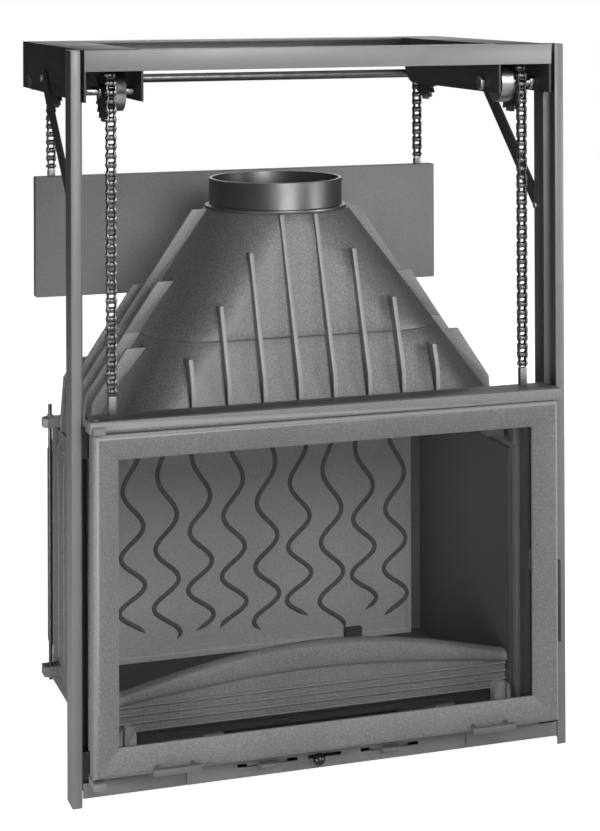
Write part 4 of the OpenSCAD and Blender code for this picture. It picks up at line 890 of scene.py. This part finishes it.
def buildHood(work, z0, z1):
    addShell(work, z0, z1)
    ribFoot = z0
    if z0 < hood["throat"]["top"]:
        addThroat(work)
        ribFoot = hood["throat"]["top"] - hood["throat"]["plate"]
    addFrontRibs(work, z0, z1, ribFoot)
    addSideRibs(work, z0, z1)
    if z0 < hood["lugs"]["z"][0]:
        addLugs(work)


for nodeName, low, high in (("hood_lower", "footZ", "jointZ"), ("hood_upper", "jointZ", "topZ")):
    mesh = meshFrom(lambda work: buildHood(work, hood[low], hood[high]), nodeName + "Casting")
    newPiece(nodeName + "_casting", mesh, nodeName, smoothAngle=hood["smooth"])
print("hood made")


stageSet = {"size": 14, "paper": "#e6e6e6", "floorGlow": 0.95, "skyStrength": 0.07, "skySeen": 1.0}


def paleFloor():
    # matt studio paper: white to the camera where nothing shades it, and it keeps the shadow
    material, tree = startMaterial("studioPaper")
    paper = addNode(tree, "ShaderNodeBsdfDiffuse", {"Color": toLinear(stageSet["paper"])}).outputs["BSDF"]
    glow = addNode(tree, "ShaderNodeEmission", {"Color": (1, 1, 1, 1), "Strength": stageSet["floorGlow"]})
    both = addNode(tree, "ShaderNodeAddShader", None, {0: paper, 1: glow.outputs["Emission"]})
    seen = addNode(tree, "ShaderNodeLightPath").outputs["Is Camera Ray"]
    shown = addNode(tree, "ShaderNodeMixShader", None, {0: seen, 1: paper, 2: both.outputs["Shader"]})
    showSurface(tree, shown.outputs["Shader"])
    return material


floorMesh = bpy.data.meshes.new("studioFloor")
half = stageSet["size"] / 2
corners = [(-half, -half, 0), (half, -half, 0), (half, half, 0), (-half, half, 0)]
floorMesh.from_pydata(corners, [], [(0, 1, 2, 3)])
floorMesh.materials.append(paleFloor())
floorObject = bpy.data.objects.new("studio_floor", floorMesh)
bpy.context.collection.objects.link(floorObject)

# a dim sky lights the object, a white one stands behind it, also through the pane
world = bpy.data.worlds.new("studio")
bpy.context.scene.world = world
world.use_nodes = True
worldTree = world.node_tree
worldTree.nodes.clear()
rays = addNode(worldTree, "ShaderNodeLightPath").outputs
direct = addNode(worldTree, "ShaderNodeMath", {"operation": "MAXIMUM"},
                 {0: rays["Is Camera Ray"], 1: rays["Is Transmission Ray"]})
skies = [addNode(worldTree, "ShaderNodeBackground", {"Color": (1, 1, 1, 1), "Strength": stageSet[name]})
         for name in ("skyStrength", "skySeen")]
sky = addNode(worldTree, "ShaderNodeMixShader", None,
              {0: direct.outputs["Value"], 1: skies[0].outputs[0], 2: skies[1].outputs[0]})
addNode(worldTree, "ShaderNodeOutputWorld", None, {"Surface": sky.outputs["Shader"]})

# places in mm, sizes in metres
lamps = {
    "key": {"place": (220, -2700, 1950), "aim": (0, 200, 500), "size": 1.2, "watts": 60},
    "low": {"place": (-300, -2900, 300), "aim": (0, 200, 400), "size": 1.2, "watts": 12},
    "top": {"place": (100, 300, 3000), "aim": (0, 200, 700), "size": 1.6, "watts": 8},
    "left": {"place": (-1700, -700, 250), "aim": (-330, 200, 180), "size": 0.5, "watts": 2.6, "spread": 50},
    "back": {"place": (900, 3000, 1700), "aim": (0, 200, 500), "size": 1.6, "watts": 16},
    "right": {"place": (2600, -1500, 900), "aim": (-80, 200, 480), "size": 0.7, "watts": 42},
}
for lampName, lamp in lamps.items():
    lampData = bpy.data.lights.new(lampName, "AREA")
    lampData.shape = "SQUARE"
    lampData.size = lamp["size"]
    lampData.energy = lamp["watts"]
    lampData.spread = math.radians(lamp.get("spread", 180))
    lampObject = bpy.data.objects.new(lampName, lampData)
    lampObject.location = point(*lamp["place"])
    towards = point(*lamp["aim"]) - lampObject.location
    lampObject.rotation_euler = towards.to_track_quat("-Z", "Y").to_euler()
    bpy.context.collection.objects.link(lampObject)
bpy.context.scene.view_settings.view_transform = "Standard"
print("stage lit")
